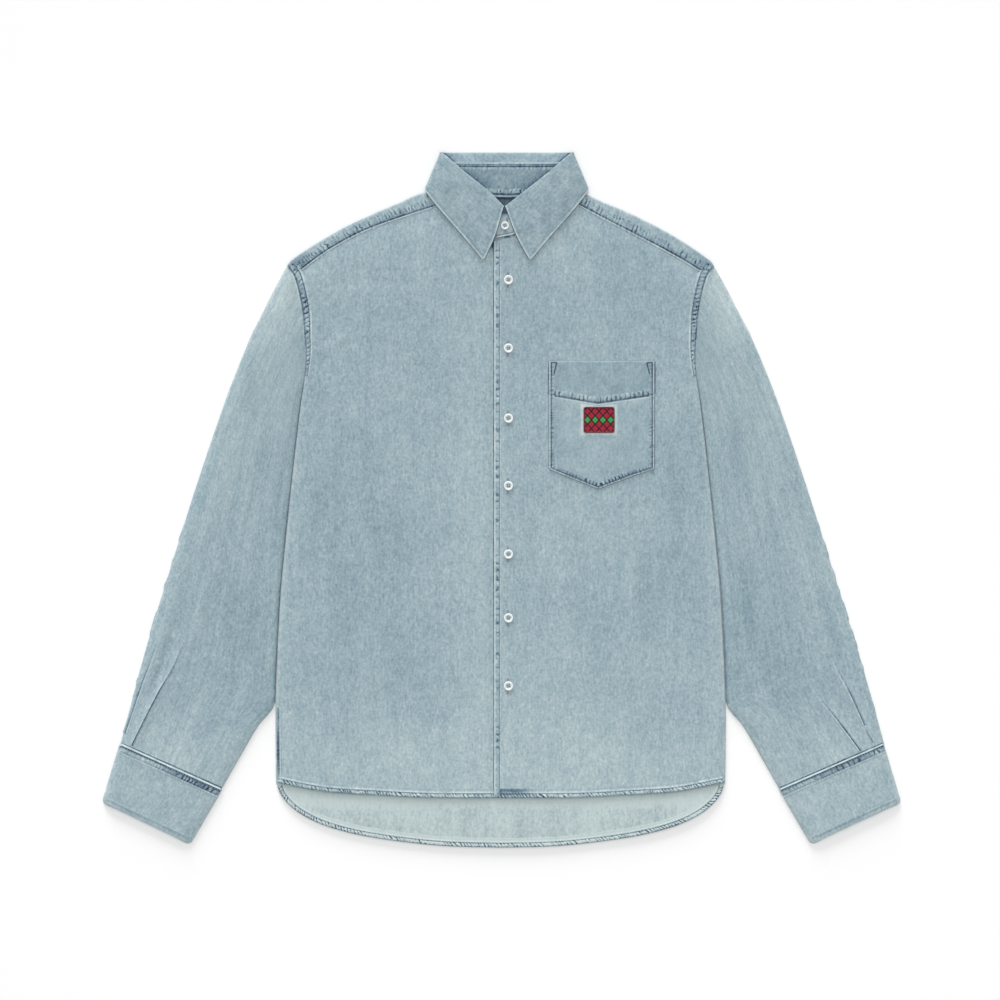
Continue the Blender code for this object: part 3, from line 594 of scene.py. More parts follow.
def tone_ramp(tree, factor, stops):
    """A colour ramp through (position, colour) stops."""
    ramp = add_node(tree, "ShaderNodeValToRGB", {"Fac": factor})
    elements = ramp.color_ramp.elements
    while len(elements) < len(stops):
        elements.new(0.5)
    for element, (position, tone) in zip(elements, stops):
        element.position = position
        element.color = (*tone, 1.0)
    return ramp.outputs["Color"]


def finish_material(tree, base, roughness, sheen=0.0, relief=None, **shader_inputs):
    """The shader. relief is a height, how far it reaches and its strength."""
    inputs = {"Base Color": base, "Roughness": roughness, "Sheen Weight": sheen,
              "Sheen Roughness": 0.5, "IOR": 1.45, **shader_inputs}
    if relief:
        bump = add_node(tree, "ShaderNodeBump", dict(zip(("Height", "Distance", "Strength"), relief)))
        inputs["Normal"] = bump.outputs[0]
    shader = add_node(tree, "ShaderNodeBsdfPrincipled", inputs)
    add_node(tree, "ShaderNodeOutputMaterial", {"Surface": shader.outputs[0]})


# --- materials ---
def between(a, b, t):
    return tuple(mix(p, q, t) for p, q in zip(a, b))


# name: contrast of the threads, more depth of the blue, whether it is the wrong side
DENIMS = {
    "denim_washed": (1.0, 0.0, False),
    "denim_of_pocket": (0.8, 0.0, False),
    "denim_of_collar": (1.0, 0.035, False),
    "denim_inside": (0.64, 0.0, True),
}


def denim(name):
    """Washed twill. 'dye_and_shading' on the mesh is how far the cloth is from its washed tone: the depth
    of its dye, and in places painted shade and painted highlights.
    """
    found = bpy.data.materials.get(name)
    if found:
        return found
    contrast, depth, wrong_side = DENIMS[name]
    cloth = settings()[0]
    washed = cloth.inside if wrong_side else cloth.washed
    made, tree = blank_material(name)
    grain = attribute(tree, "grain", "Vector")
    dye_and_shading = attribute(tree, "dye_and_shading")
    slub = grain_noise(tree, grain, cloth.slub_width / MM, cloth.slub_length / MM, 2.0, 0.55)
    fleck = grain_noise(tree, grain, 2.6, 3.0, 2.0, 0.62, shift=17.3)
    speck = grain_noise(tree, grain, 3.2, 5.5, 2.0, 0.6, shift=41.7)
    mottle = grain_noise(tree, grain, 15.0, 24.0, 2.0, 0.5, shift=5.1)
    cloud = grain_noise(tree, grain, 60.0, 85.0, 1.0, 0.5, shift=71.9)
    parts = add_node(tree, "ShaderNodeSeparateXYZ", {0: grain})
    turn = 2 * math.pi * MM / cloth.twill_pitch
    phase = sum_up(tree, (parts.outputs["X"], turn), (parts.outputs["Y"], 0.55 * turn), (speck, 2.4))
    twill = math_node(tree, "SINE", phase)
    level = sum_up(tree, (dye_and_shading, 1.0), (slub, 0.29 * contrast), (fleck, 0.39 * contrast),
                   (speck, 0.25 * contrast), (mottle, 0.14 * contrast), (cloud, 0.12 * contrast),
                   (twill, 0.015 * contrast))
    level = math_node(tree, "ADD", level, 0.4 + depth)
    base = tone_ramp(tree, level, ((0.0, cloth.weft), (0.4, washed),
                                   (0.62, between(washed, cloth.warp, 0.75)),
                                   (0.8, between(cloth.warp, cloth.indigo, 0.35)),
                                   (1.0, cloth.indigo)))
    threads = sum_up(tree, (slub, 0.9), (fleck, 0.8), (twill, 0.22))
    finish_material(tree, base, cloth.roughness, cloth.sheen, (threads, cloth.relief, 0.55),
                    **{"Specular IOR Level": 0.25})
    return made


def thread_material(name, tone):
    """Twisted sewing thread; 'dye_and_shading' on the mesh darkens a stitch, and darkens the strand that
    paints the shade in a buttonhole's slit.
    """
    made, tree = blank_material(name)
    dye_and_shading = attribute(tree, "dye_and_shading")
    twist = plain_noise(tree, 900.0, on_object(tree))
    level = sum_up(tree, (dye_and_shading, 1.0), (twist, 0.5))
    base = tone_ramp(tree, level, ((0.0, tone), (1.0, between(tone, (0.0, 0.0, 0.0), 0.55))))
    finish_material(tree, base, 0.6, 0.2, (twist, 0.0002, 0.5))
    return made


# --- meshes ---
def normals_of(points, closed, facing):
    """Unit normals of a grid of points, turned so that the one at 'facing' points up.

    A closed grid joins its last column to its first.
    """
    along = np.gradient(points, axis=0)
    if closed:
        across = (np.roll(points, -1, axis=1) - np.roll(points, 1, axis=1)) / 2
    else:
        across = np.gradient(points, axis=1)
    normal = unit(np.cross(across, along))
    return normal if normal[facing][2] > 0 else -normal


def quads(index, closed):
    """Faces of a grid of vertex numbers."""
    if closed:
        index = join(index, index[:, :1], axis=1)
    corners = (index[:-1, :-1], index[:-1, 1:], index[1:, 1:], index[1:, :-1])
    return np.stack([c.ravel() for c in corners], axis=1).tolist()


def rim(fine, coarse, step):
    """Faces that close the edge between a fine row and a row with every step-th point."""
    faces = []
    for k in range(len(coarse) - 1):
        faces.append([*fine[k * step:(k + 1) * step + 1], coarse[k + 1], coarse[k]])
    return faces


def cloth_object(name, points, fields, half, material, closed=False, facing=None, step=2):
    """A closed shell of cloth from the points of its middle, finer outside than inside.

    points is a grid of rows and columns in millimetres, half is half the cloth's thickness,
    fields holds what the material reads at each point, and facing is the row and column of
    a point that shows from above.
    """
    if facing is None:
        facing = (points.shape[0] // 2, points.shape[1] // 2)
    normal = normals_of(points, closed, facing)
    half = np.broadcast_to(np.asarray(half, float), points.shape[:2])[..., None]
    rows, columns = points.shape[:2]
    row_pick = np.arange(0, rows, step)
    column_pick = np.arange(0, columns, step)
    if row_pick[-1] != rows - 1 or (not closed and column_pick[-1] != columns - 1):
        raise RuntimeError(f"{name}: the grid {rows} by {columns} doesn't fit a step of {step}")
    pick = np.ix_(row_pick, column_pick)
    outer = points + normal * half
    inner = (points - normal * half)[pick]
    outer_index = np.arange(rows * columns).reshape(rows, columns)
    inner_index = rows * columns + np.arange(inner.shape[0] * inner.shape[1])
    inner_index = inner_index.reshape(inner.shape[:2])
    faces = quads(outer_index, closed) + quads(inner_index[:, ::-1], closed)
    for end in (0, -1):
        fine, coarse = outer_index[end], inner_index[end]
        if closed:
            fine, coarse = np.append(fine, fine[0]), np.append(coarse, coarse[0])
        faces += rim(fine.tolist(), coarse.tolist(), step)
        if not closed:
            faces += rim(outer_index[:, end].tolist(), inner_index[:, end].tolist(), step)
    verts = join(outer.reshape(-1, 3), inner.reshape(-1, 3))
    values = {key: join(v.reshape((rows * columns,) + v.shape[2:]), v[pick].reshape((-1,) + v.shape[2:]))
              for key, v in fields.items()}
    return solid(name, verts, faces, values, material)


def placed(name, data):
    """An object in the scene, from its data."""
    made = bpy.data.objects.new(name, data)
    bpy.context.scene.collection.objects.link(made)
    return made


def solid(name, verts, faces, values, material, weld=False):
    """An object from points in millimetres, with its faces pointing out."""
    mesh = bpy.data.meshes.new(name)
    mesh.from_pydata((np.asarray(verts) * MM).tolist(), [], faces)
    for key, value in values.items():
        kind = "FLOAT_VECTOR" if value.ndim == 2 else "FLOAT"
        layer = mesh.attributes.new(key, kind, "POINT")
        layer.data.foreach_set("vector" if value.ndim == 2 else "value", value.astype(np.float32).ravel())
    work = bmesh.new()
    work.from_mesh(mesh)
    if weld:
        bmesh.ops.remove_doubles(work, verts=work.verts, dist=0.001 * MM)
    bmesh.ops.recalc_face_normals(work, faces=work.faces)
    work.to_mesh(mesh)
    work.free()
    mesh.shade_smooth()
    mesh.materials.append(material)
    return placed(name, mesh)


def settle(piece, slot, *nodes):
    """Tie a finished piece to the shirt, and let it stand for its nodes."""
    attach(piece, BODY)
    if nodes:
        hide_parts(*nodes)


def grain_field(x, y, seed):
    """Where the threads lie: across the grain, along it, and a number for the piece."""
    x, y = np.broadcast_arrays(np.asarray(x, float), np.asarray(y, float))
    return grid(x, y, np.full(x.shape, 7.0 * seed))


# --- gathered seams ---
GROOVE = 0.1  # the lowest places of a strip stay this far above the cloth
STRIP_MESH = (0.8, 0.55)  # from one row and one column of its mesh to the next
STRIP_DEPTH = 0.8  # depth of its underside below the cloth's surface
EVEN = ((0, 1), (1, 1))


@dataclass
class Band:
    """A strip of gathered cloth along a seam, and the places on it.

    ground(run, aside) gives points of the cloth below, for a run along the seam and a
    distance aside of it. seam is a table: its gathers and its profile. tints rows: share of
    the run, dye. fade rows: share of the run, share of the height and the dye; where it is
    0 the strip lies sunk below. squeeze rows: share of the run, share of the width. spots
    rows: run, aside, reach along, reach across, dye. bite rows: share of the run, share of
    the blue between the gathers.
    """

    ground: Callable
    run: float
    seam: tuple
    seed: int
    tints: tuple = ((0, 0), (1, 0))
    fade: tuple = EVEN
    squeeze: tuple = EVEN
    spots: tuple = ()
    bite: tuple = EVEN
    sunk: float = 0.5

    def column(self, number, aside):
        """A column of the profile, read at distances aside."""
        return curve([(row[0], row[number]) for row in self.seam[1]], aside)

    def ends(self):
        """How far aside the strip begins and ends."""
        return self.seam[1][0][0], self.seam[1][-1][0]

    def wave(self, run, aside):
        """The gathers at places on the strip, about -1 to 1."""
        pitch, _, slant, _ = self.seam[0]
        turn = (run + slant * aside) / pitch + 1.3 * noise(run / (3.2 * pitch), 0.5, self.seed)
        turn = 2 * math.pi * (turn + 0.22 * noise(run / 3.0, aside / 2.4, self.seed + 1))
        strength = 0.62 + 0.75 * noise(run / (1.3 * pitch), aside / 5.0, self.seed + 2)
        crumple = 0.45 * noise(run / 1.6, aside / 1.3, self.seed + 3)
        return strength * (np.sin(turn) + 0.4 * np.sin(2 * turn + 1.3)) + crumple

    def height(self, run, aside):
        gathered = self.column(3, aside) * self.wave(run, aside) * self.seam[0][1]
        first, last = self.ends()
        plain = self.column(1, aside)
        gathered = plain + gathered * settings()[1].pucker
        gathered = np.maximum(gathered, np.minimum(plain, GROOVE))
        faded = mix(-self.sunk, gathered, curve(self.fade, run / self.run))
        return np.where((aside - first) * (last - aside) <= 0, plain, faded)

    def dye_and_shading(self, run, aside):
        shares = self.column(3, aside)
        streak = 0.10 * noise(run / 11.0, aside / 9.0, self.seed + 4)
        tint = curve(self.tints, run / self.run) * np.clip(shares * 1.6, 0, 1)
        wave = self.wave(run, aside)
        marks = ease((-wave - 0.35) / 0.5) - 0.7 * ease((wave - 0.75) / 0.5)
        total = self.column(2, aside) * (1 + 0.4 * noise(run / 9.0, 0.3, self.seed + 5))
        depth = self.seam[0][3] * curve(self.bite, run / self.run)
        total = total + shares * depth * (marks - 0.6 * wave) + tint + streak * shares
        for at, across, reach, wide, depth in self.spots:
            total = total + depth * np.exp(-((run - at) / reach) ** 4 - ((aside - across) / wide) ** 2)
        return total * curve(self.fade, run / self.run)

    def place(self, run, aside, lift=0.0):
        """Points on the strip, raised by lift."""
        points = np.array(self.ground(run, aside * curve(self.squeeze, run / self.run)), float)
        points[..., 2] += self.height(run, aside) + lift
        return points

    def strip(self, name, material, grain_seed):
        """The strip as an object; its underside lies inside the cloth below."""
        first, last = self.ends()
        rows = max(int(self.run / STRIP_MESH[0]), 4)
        columns = max(int((last - first) / STRIP_MESH[1]), 5)
        run, aside = np.meshgrid(np.linspace(0, self.run, rows + 1),
                                 np.linspace(first, last, columns + 1), indexing="ij")
        top = self.place(run, aside)
        dye_and_shading = self.dye_and_shading(run, aside)
        under_run, under_aside = run[:, [-1, 0]], aside[:, [-1, 0]]
        under = self.place(under_run, under_aside)
        under[..., 2] -= np.maximum(STRIP_DEPTH + self.height(under_run, under_aside), 0.1)
        grain = grain_field(top[..., 0], top[..., 1], grain_seed)
        points = join(top, under, axis=1)
        index = np.arange(points.shape[0] * points.shape[1]).reshape(points.shape[:2])
        faces = quads(index, True) + [index[0].tolist(), index[-1, ::-1].tolist()]
        fields = {"dye_and_shading": join(dye_and_shading, dye_and_shading[:, [-1, 0]], axis=1).ravel(),
                  "grain": join(grain, grain[:, [-1, 0]], axis=1).reshape(-1, 3)}
        return solid(name, points.reshape(-1, 3), faces, fields, material)


def path_ground(path, surface):
    """A seam along a line on a surface; aside is to the left of the line."""
    path = np.asarray(path, float)
    runs = runs_of(path)
    slope = np.gradient(path, runs, axis=0)
    slope = slope / norm(slope, axis=1, keepdims=True)

    def ground(run, aside):
        x, y = np.moveaxis(point_at(path, runs, run), -1, 0)
        dx, dy = np.moveaxis(point_at(slope, runs, run), -1, 0)
        x, y = x - dy * aside, y + dx * aside
        return grid(x, y, surface(x, y))

    return ground, runs[-1]


# --- stitching ---
class Stitching:
    """The stitches of a group of seams, gathered into one mesh."""

    SECTIONS = 5
    SIDES = 6

    def __init__(self, seed):
        self.random = np.random.default_rng(seed)
        self.points = []
        self.dyes_and_shading = []

    def add(self, centres, width, dye_and_shading):
        """Stitches from the centres of their sections: an array of stitch, section, point."""
        along = unit(np.gradient(centres, axis=1))
        side = unit(np.cross(along, (0.0, 0.0, 1.0)))
        up = np.cross(side, along)
        t = np.linspace(0, 1, self.SECTIONS)
        radius = width / 2 * (0.55 + 0.45 * np.sqrt(np.sin(math.pi * np.clip(t, 0.04, 0.96))))
        angle = np.linspace(0, 2 * math.pi, self.SIDES, endpoint=False)
        rings = (side[:, :, None] * np.cos(angle)[None, None, :, None]
                 + up[:, :, None] * np.sin(angle)[None, None, :, None])
        self.points.append(centres[:, :, None] + rings * radius[None, :, None, None])
        tone = dye_and_shading + self.random.uniform(-0.12, 0.12, len(centres))
        self.dyes_and_shading.append(np.repeat(tone, self.SECTIONS * self.SIDES))

    def row(self, place, start, end, aside, dye_and_shading=0.3):
        """A row of stitches along a seam, between two runs."""
        seams = settings()[1]
        stitch, gap, width = seams.stitch / MM, seams.stitch_gap / MM, seams.thread / MM
        count = int((end - start) / (stitch + gap))
        first = start + (np.arange(count) + 0.5) * (end - start) / count - stitch / 2
        first = first + self.random.uniform(-0.12, 0.12, count)
        t = np.linspace(0, 1, self.SECTIONS)
        run = first[:, None] + stitch * t[None, :]
        wander = aside + self.random.uniform(-0.12, 0.12, (count, 1))
        lift = width * (1.05 * np.sin(math.pi * t) ** 0.7 - 0.45) - 0.05
        self.add(place(run, np.broadcast_to(wander, run.shape), lift[None, :]), width, dye_and_shading)

    def line(self, points, lift):
        """A row of stitches along a line of points, raised by lift."""
        runs = runs_of(points)

        def place(run, aside, rise):
            found = point_at(points, runs, run)
            found[..., 2] += lift + rise
            return found

        self.row(place, 0.0, runs[-1], 0.0)

    def satin(self, place, one, other, across, pitch=0.6, dye_and_shading=0.5, width=0.6):
        """Close stitches side by side along a line between two places."""
        reach = math.dist(one, other)
        angle = math.atan2(other[1] - one[1], other[0] - one[0])
        ux, uy = math.cos(angle), math.sin(angle)
        t = np.linspace(0, 1, self.SECTIONS)
        shift = np.linspace(-reach / 2, reach / 2, max(int(reach / pitch), 3))[:, None]
        aside = (t[None, :] - 0.5) * across
        lift = width * (1.1 * np.sin(math.pi * t) ** 0.6 - 0.3)
        self.add(place((one[0] + other[0]) / 2 + shift * ux - aside * uy,
                       (one[1] + other[1]) / 2 + shift * uy + aside * ux, lift[None, :]), width, dye_and_shading)

    def finish(self, name, slot, tone=None):
        points = np.concatenate(self.points)
        stitches = points.shape[0]
        per = self.SECTIONS * self.SIDES
        index = np.arange(per).reshape(self.SECTIONS, self.SIDES)
        one = quads(index, True)
        ends = [index[0].tolist(), index[-1, ::-1].tolist()]
        start = (np.arange(stitches) * per)[:, None, None]
        faces = (start + np.array(one)[None]).reshape(-1, 4).tolist()
        faces += (start + np.array(ends)[None]).reshape(-1, self.SIDES).tolist()
        dyes_and_shading = np.concatenate(self.dyes_and_shading)
        material = thread_material("thread_" + name, tone or settings()[1].tone)
        settle(solid(name, points.reshape(-1, 3), faces, {"dye_and_shading": dyes_and_shading}, material), slot)


# --- fronts ---
def yoke_seam(side, out):
    """Height of the front yoke seam at a distance out from the middle. side is -1 or +1."""
    return curve([(abs(x), y) for x, y in YOKE_SEAM[side]], out)


def front_top(side, x):
    """Upper edge of a front: its neck edge, then its yoke seam."""
    first_x, first_y = YOKE_SEAM[side][0]
    neck = [*FRONT_NECK, (side * (first_x - NECK_X), first_y)]
    on_seam = side * x >= abs(first_x)
    top = np.where(on_seam, yoke_seam(side, side * x), curve(neck, side * (x - NECK_X)))
    return top - SEAM_GAP


def front_middle(side, x, y):
    """Height of the middle of a front's cloth."""
    inward = curve(BODY_EDGE, y) - np.abs(x)
    edge = mix(EDGE_HEIGHT, SEAM_HEIGHT, ease((y - UNDERARM_Y) / 50))
    top = front_top(side, x) - y
    chest = mix(SEAM_HEIGHT, CHEST_HEIGHT, ease(top / 30))
    level = mix(edge, chest, rounding(inward, EDGE_ROLL))
    level = level + fold_height(FOLDS_BODY[side], x, y) * rounding(inward, 2 * EDGE_ROLL) * ease(top / 30)
    if side < 0:
        return mix(level, LAP_UNDER, ease((x - OVER_EDGE_X + LAP_EASE) / LAP_EASE))
    return mix(level, LAP_OVER, 1 - ease((x - UNDER_EDGE_X) / LAP_EASE))


def front_face(side):
    """The upper face of a front, as a function of x and y."""
    return lambda x, y: front_middle(side, x, y) + CLOTH / 2


def front_plan(side, across, drop):
    """x and y of points of a front, from its front edge to its side and from its top down."""
    first = OVER_EDGE_X if side > 0 else UNDER_EDGE_X
    last = side * FRONT_SEAM_X
    top = front_top(side, mix(first, last, across))
    foot = curve(FRONT_HEM, np.abs(mix(first, side * BODY_EDGE[0][1], across)))
    y = mix(top, foot, drop)
    outer = curve(BODY_EDGE, np.minimum(y, FRONT_SEAM_Y))
    return mix(first, side * (outer - SEAM_GAP / 2), across), y


def body_dye_and_shading(x, y, side):
    """Depth of the blue over the body: soft areas, long streaks, paler raised folds, and a painted
    highlight along the side edge.
    """
    inward = curve(BODY_EDGE, y) - np.abs(x)
    streaks = 0.022 * noise(x / 6, y / 90, 11) + 0.014 * noise(x / 2.2, y / 38, 12)
    # a painted highlight along the body's side edge
    edge = -0.10 * near(inward, 3.0)
    # paler on raised folds and darker in their troughs
    fold_tone = 0.02 * fold_height(FOLDS_BODY[side], x, y)
    return wash_and_shading_depth(WASH_AND_SHADING_BODY, x, y) + streaks - fold_tone + edge


def front(name, side):
    across, drop = np.meshgrid(graded(117, 0.45), graded(289, 0.25))
    x, y = front_plan(side, across, drop)
    points = grid(x, y, front_middle(side, x, y))
    fields = {"grain": grain_field(x, y, 1 if side > 0 else 2), "dye_and_shading": body_dye_and_shading(x, y, side)}
    return cloth_object(name, points, fields, CLOTH / 2, denim("denim_washed"))


class SHIRT_OT_fronts(Operator):
    """Add the two fronts, one lapped over the other"""

    bl_idname = "shirt.fronts"
    bl_label = "Fronts"

    def execute(self, context):
        settle(front("shirt_front_right", -1), "denim", "front_right")
        settle(front("shirt_front_left", 1), "denim", "front_left")
        return {"FINISHED"}


# --- back and yoke ---
def back():
    coarse = np.linspace(0.0, 0.86, 13)[:-1]
    fine = np.linspace(0.86, 1.0, 49)
    share, drop = np.meshgrid(np.linspace(-1, 1, 221), join(coarse, fine))
    foot = curve(BACK_HEM, np.abs(share) * BACK_HEM[-1][0])
    y = mix(BACK_YOKE_Y - SEAM_GAP, foot, drop)
    x = share * (curve(BODY_EDGE, y) - SEAM_GAP / 2)
    z = tail_face(x, y) - CLOTH / 2
    streaks = 0.025 * noise(x / 3, y / 45, 21) + 0.03 * noise(x / 9, y / 80, 22)
    # paler just below the front hem: painted light that offsets the front hem's shadow on the back
    shade = 0.04 - 0.09 * ease((y + 376.0) / 16)
    fields = {"grain": grain_field(x, y, 3), "dye_and_shading": streaks + shade}
    return cloth_object("shirt_back", grid(x, y, z), fields, CLOTH / 2, denim("denim_inside"))


def tail_face(x, y):
    """The upper face of the back, which curls up a little where it shows below the fronts."""
    below = curve(FRONT_HEM, np.abs(x)) - y
    curl = TAIL_LIFT * (0.8 + 0.3 * noise(x / 60, 0.5, 23)) * ease(below / TAIL_REACH)
    step = TAIL_STEP * ease((below - 0.5) / 3.2)
    folds = fold_height(FOLDS_TAIL, x, y) * ease((below - 4.0) / 16)
    return 2 * FLOOR_LAYER + step + curl + folds


def yoke_columns():
    """x along the shoulders, and where the folded strips begin and end."""
    right, left = NECK_X - NECK_POINT, NECK_X + NECK_POINT
    outer = np.linspace(0.0, 1.0, 66)
    inner = np.linspace(0.0, 1.0, 42)[1:-1]
    return join(mix(-SHOULDER_X, right, outer), mix(right, left, inner),
                mix(left, SHOULDER_X, outer)), right, left


def yoke():
    """One sheet on the floor, with a strip folded over the top of each shoulder."""
    columns, right, left = yoke_columns()
    fold = (SEAM_HEIGHT - FLOOR_LAYER) / 2
    verts, chains = [], []
    for x_top in columns:
        folded = x_top <= right + 0.01 or x_top >= left - 0.01
        if folded:
            out = abs(x_top)
            ridge = float(curve(SHOULDER_FOLD, out)) - CLOTH / 2
            if x_top < 0:
                ridge -= SHOULDER_DROP * ease((out - 88.0) / 20) * ease((245.0 - out) / 60)
        else:
            ridge = float(curve(BACK_NECK, x_top - NECK_X)) + NECK_TUCK
        turn = fold if folded else 0.0
        chain = [(mix(BACK_YOKE_Y, ridge - turn, r / 8), FLOOR_LAYER) for r in range(9)]
        if folded:
            side = 1 if x_top > 0 else -1
            seam = float(yoke_seam(side, out))
            for _ in range(4):  # the strip narrows towards its seam, which follows it
                width = float(curve(BODY_EDGE, seam))
                seam = float(yoke_seam(side, out / SHOULDER_X * width))
            angles = np.linspace(-math.pi / 2, math.pi / 2, 11)[1:-1]
            chain += [(ridge - turn + fold * math.cos(a), FLOOR_LAYER + fold * (1 + math.sin(a)))
                      for a in angles]
            chain += [(mix(ridge - turn, seam, r / 12), SEAM_HEIGHT) for r in range(13)]
        start = len(verts)
        for y, z in chain:
            outer = min(float(curve(BODY_EDGE, y)) - SEAM_GAP / 2, SHOULDER_X)
            verts.append((x_top / SHOULDER_X * outer, y, z))
        chains.append(range(start, len(verts)))
    faces = []
    for one, other in zip(chains, chains[1:]):
        for r in range(min(len(one), len(other)) - 1):
            faces.append((one[r], other[r], other[r + 1], one[r + 1]))
    verts = np.array(verts)
    x, y = verts[:, 0], verts[:, 1]
    dye_and_shading = 0.05 * noise(x / 9, y / 9, 31) - 0.04 + 0.16 * ease((np.abs(x) - 225.0) / 20)
    # painted shade on the sheet that lies low; it shows in the neck opening between the leaves
    dye_and_shading = dye_and_shading + 0.42 * (verts[:, 2] < SEAM_HEIGHT / 2)
    made = solid("shirt_yoke", verts, faces, {"grain": grain_field(x, y, 4), "dye_and_shading": dye_and_shading},
                 denim("denim_washed"))
    cloth = made.modifiers.new("cloth", "SOLIDIFY")
    cloth.thickness = CLOTH * MM
    cloth.offset = 0.0
    cloth.use_even_offset = False
    return made


class SHIRT_OT_back(Operator):
    """Add the back, which shows its wrong side below the fronts, and the yoke"""

    bl_idname = "shirt.back"
    bl_label = "Back and yoke"

    def execute(self, context):
        settle(back(), "denim", "back")
        settle(yoke(), "denim", "yoke")
        return {"FINISHED"}


# --- sleeves and cuffs ---
def sleeve_inner(y):
    along_body = curve(BODY_EDGE, y) + SLEEVE_TO_BODY
    return np.where(y > FORK_Y, along_body, curve(FOREARM_INNER, y))


def sleeve_ends(s):
    """The outer and inner fold of a sleeve at shares of its length: x, y, x, y."""
    outer_y = mix(SLEEVE_OUTER[-1][0], SLEEVE_OUTER[0][0] + SEAM_GAP, s)
    slant = CUFF_SLANT + (ARMHOLE_SLANT - CUFF_SLANT) * np.exp(-s / SLANT_FADE)
    inner_y = outer_y - slant
    return curve(SLEEVE_OUTER, outer_y), outer_y, sleeve_inner(inner_y), inner_y


def sleeve_plan(side, s, u):
    """x and y of points of a flat sleeve: s down its length, u from outer to inner fold."""
    outer_x, outer_y, inner_x, inner_y = sleeve_ends(s)
    width = np.hypot(outer_x - inner_x, outer_y - inner_y)
    inset = CLOTH / 2 / width
    u = mix(inset, 1 - inset, u)
    x, y = mix(outer_x, inner_x, u), mix(outer_y, inner_y, u)
    arm_x = curve(BODY_EDGE, mix(SHOULDER_Y, UNDERARM_Y, u)) + SEAM_GAP
    chord = mix(curve(BODY_EDGE, SHOULDER_Y), curve(BODY_EDGE, UNDERARM_Y), u)
    spacing, seed, least = (105.0, 41, -0.05) if side > 0 else (60.0, 42, 0.12)
    nubs = ease((noise(s * spacing, 0.5, seed) - least) / 0.4)
    nubs = 1.5 * nubs * ease((s - 0.5) / 0.08) * ease((0.95 - s) / 0.05) * np.exp(-u * width / 4)
    wider = SLEEVE_OUT_LEFT * ease(s / 0.3) if side > 0 else -WRIST_IN_RIGHT * ease(s / 0.3 - 2.3)
    wider = wider * (1 - u)
    return side * (x + ease(1 - s / 0.3) * (arm_x - chord - SEAM_GAP) + nubs + wider), y


def sleeve_top(side, s, u):
    """Points of the middle of the cloth on the upper side of a sleeve."""
    outer_x, outer_y, inner_x, inner_y = sleeve_ends(s)
    width = np.hypot(outer_x - inner_x, outer_y - inner_y)
    x, y = sleeve_plan(side, s, u)
    high = mix(SEAM_HEIGHT, SLEEVE_HEIGHT, ease(s / 0.15)) + fold_height(FOLDS_SLEEVE[side], x, y)
    edge = rounding(np.minimum(u, 1 - u) * width, EDGE_ROLL)
    return grid(x, y, mix(FLOOR_LAYER, high, edge))


def edge_shares(width, middle):
    """Shares across a flattened tube, closer together where it rounds down to its folds."""
    side = EDGE_ROLL / width * (1 - np.cos(np.linspace(0, math.pi / 2, 7)))
    inner = np.linspace(side[-1], 1 - side[-1], middle)
    return join(side[:-1], inner, 1 - side[-2::-1])


def flat_tube(side, face, plan, floor, s, top, count):
    """A ring of points for each s, and their u: over the upper side and back on the floor."""
    low = np.linspace(1.0, 0.0, count)[1:-1]
    x, y = plan(side, s, low[None, :])
    lower = grid(x, y, np.full(x.shape, floor))
    points = join(face(side, s, top[None, :]), lower, axis=1)
    return points, join(top, low)[None, :] + 0 * s


def sleeve(name, side):
    top = edge_shares(SLEEVE_WIDTH, 67)
    s = graded(277, 0.2)[:, None]
    points, u = flat_tube(side, sleeve_top, sleeve_plan, FLOOR_LAYER, s, top, 15)
    x, y = points[..., 0], points[..., 1]
    grain = grain_field(u * SLEEVE_WIDTH, -s * SLEEVE_LENGTH, 5 if side > 0 else 6)
    streaks = (0.035 * noise(u * 30.0, s * 6.0, 43) + 0.04 * noise(u * 80.0, s * 12.0, 44)
               + 0.02 * noise(u * 12.0, s * 9.0, 45))
    edge = -0.07 * near(np.minimum(u, 1 - u) * SLEEVE_WIDTH, 5.0)
    # painted shadow on the sleeve's inner fold, where it lies beside the body above the fork
    beside = near((1 - u) * SLEEVE_WIDTH, 3.0) * (y > FORK_Y)
    dye_and_shading = wash_and_shading_depth(WASH_SLEEVE, np.abs(x), y) + streaks + edge + 0.30 * beside + 0.025
    dye_and_shading = dye_and_shading - 0.03 * fold_height(FOLDS_SLEEVE[side], x, y)
    return cloth_object(name, points, {"grain": grain, "dye_and_shading": dye_and_shading}, CLOTH / 2,
                        denim("denim_washed"), closed=True, facing=(138, len(top) // 2))


def cuff_corners(s):
    """The outer and inner end of a cuff's cross-line at shares of its depth."""
    return [mix(a, b, s) for a, b in zip(CUFF_TOP_OUTER + CUFF_TOP_INNER,
                                        CUFF_END_OUTER + CUFF_END_INNER)]


def cuff_width(s):
    outer_x, outer_y, inner_x, inner_y = cuff_corners(s)
    return np.hypot(outer_x - inner_x, outer_y - inner_y)


def cuff_plan(side, s, u):
    outer_x, outer_y, inner_x, inner_y = cuff_corners(s)
    corner = np.clip(1 - (1 - s) * CUFF_SIDE / CUFF_CORNER, 0.0, 1.0)
    cut = (CUFF_CORNER * (1 - np.sqrt(1 - corner ** 2)) + CUFF_CLOTH / 2) / cuff_width(s)
    t = mix(cut, 1 - cut, u)
    closer = WRIST_IN_RIGHT * (1 - u) * (side < 0)
    return side * (mix(outer_x, inner_x, t) - closer), mix(outer_y, inner_y, t)


def cuff_top(side, s, u):
    """Points of the middle of the cloth on the upper side of a cuff."""
    x, y = cuff_plan(side, s, u)
    edge = rounding(np.minimum(u, 1 - u) * cuff_width(s), EDGE_ROLL)
    foot = 0.5 * ease((s - 0.9) / 0.1)
    swell = 0.35 * noise(u * 4.0, s * 2.0, 51 if side > 0 else 52)
    high = CUFF_HEIGHT - foot + swell * ease((1 - s) / 0.2) * ease(s / 0.2)
    return grid(x, y, mix(CUFF_CLOTH / 2, high, edge))


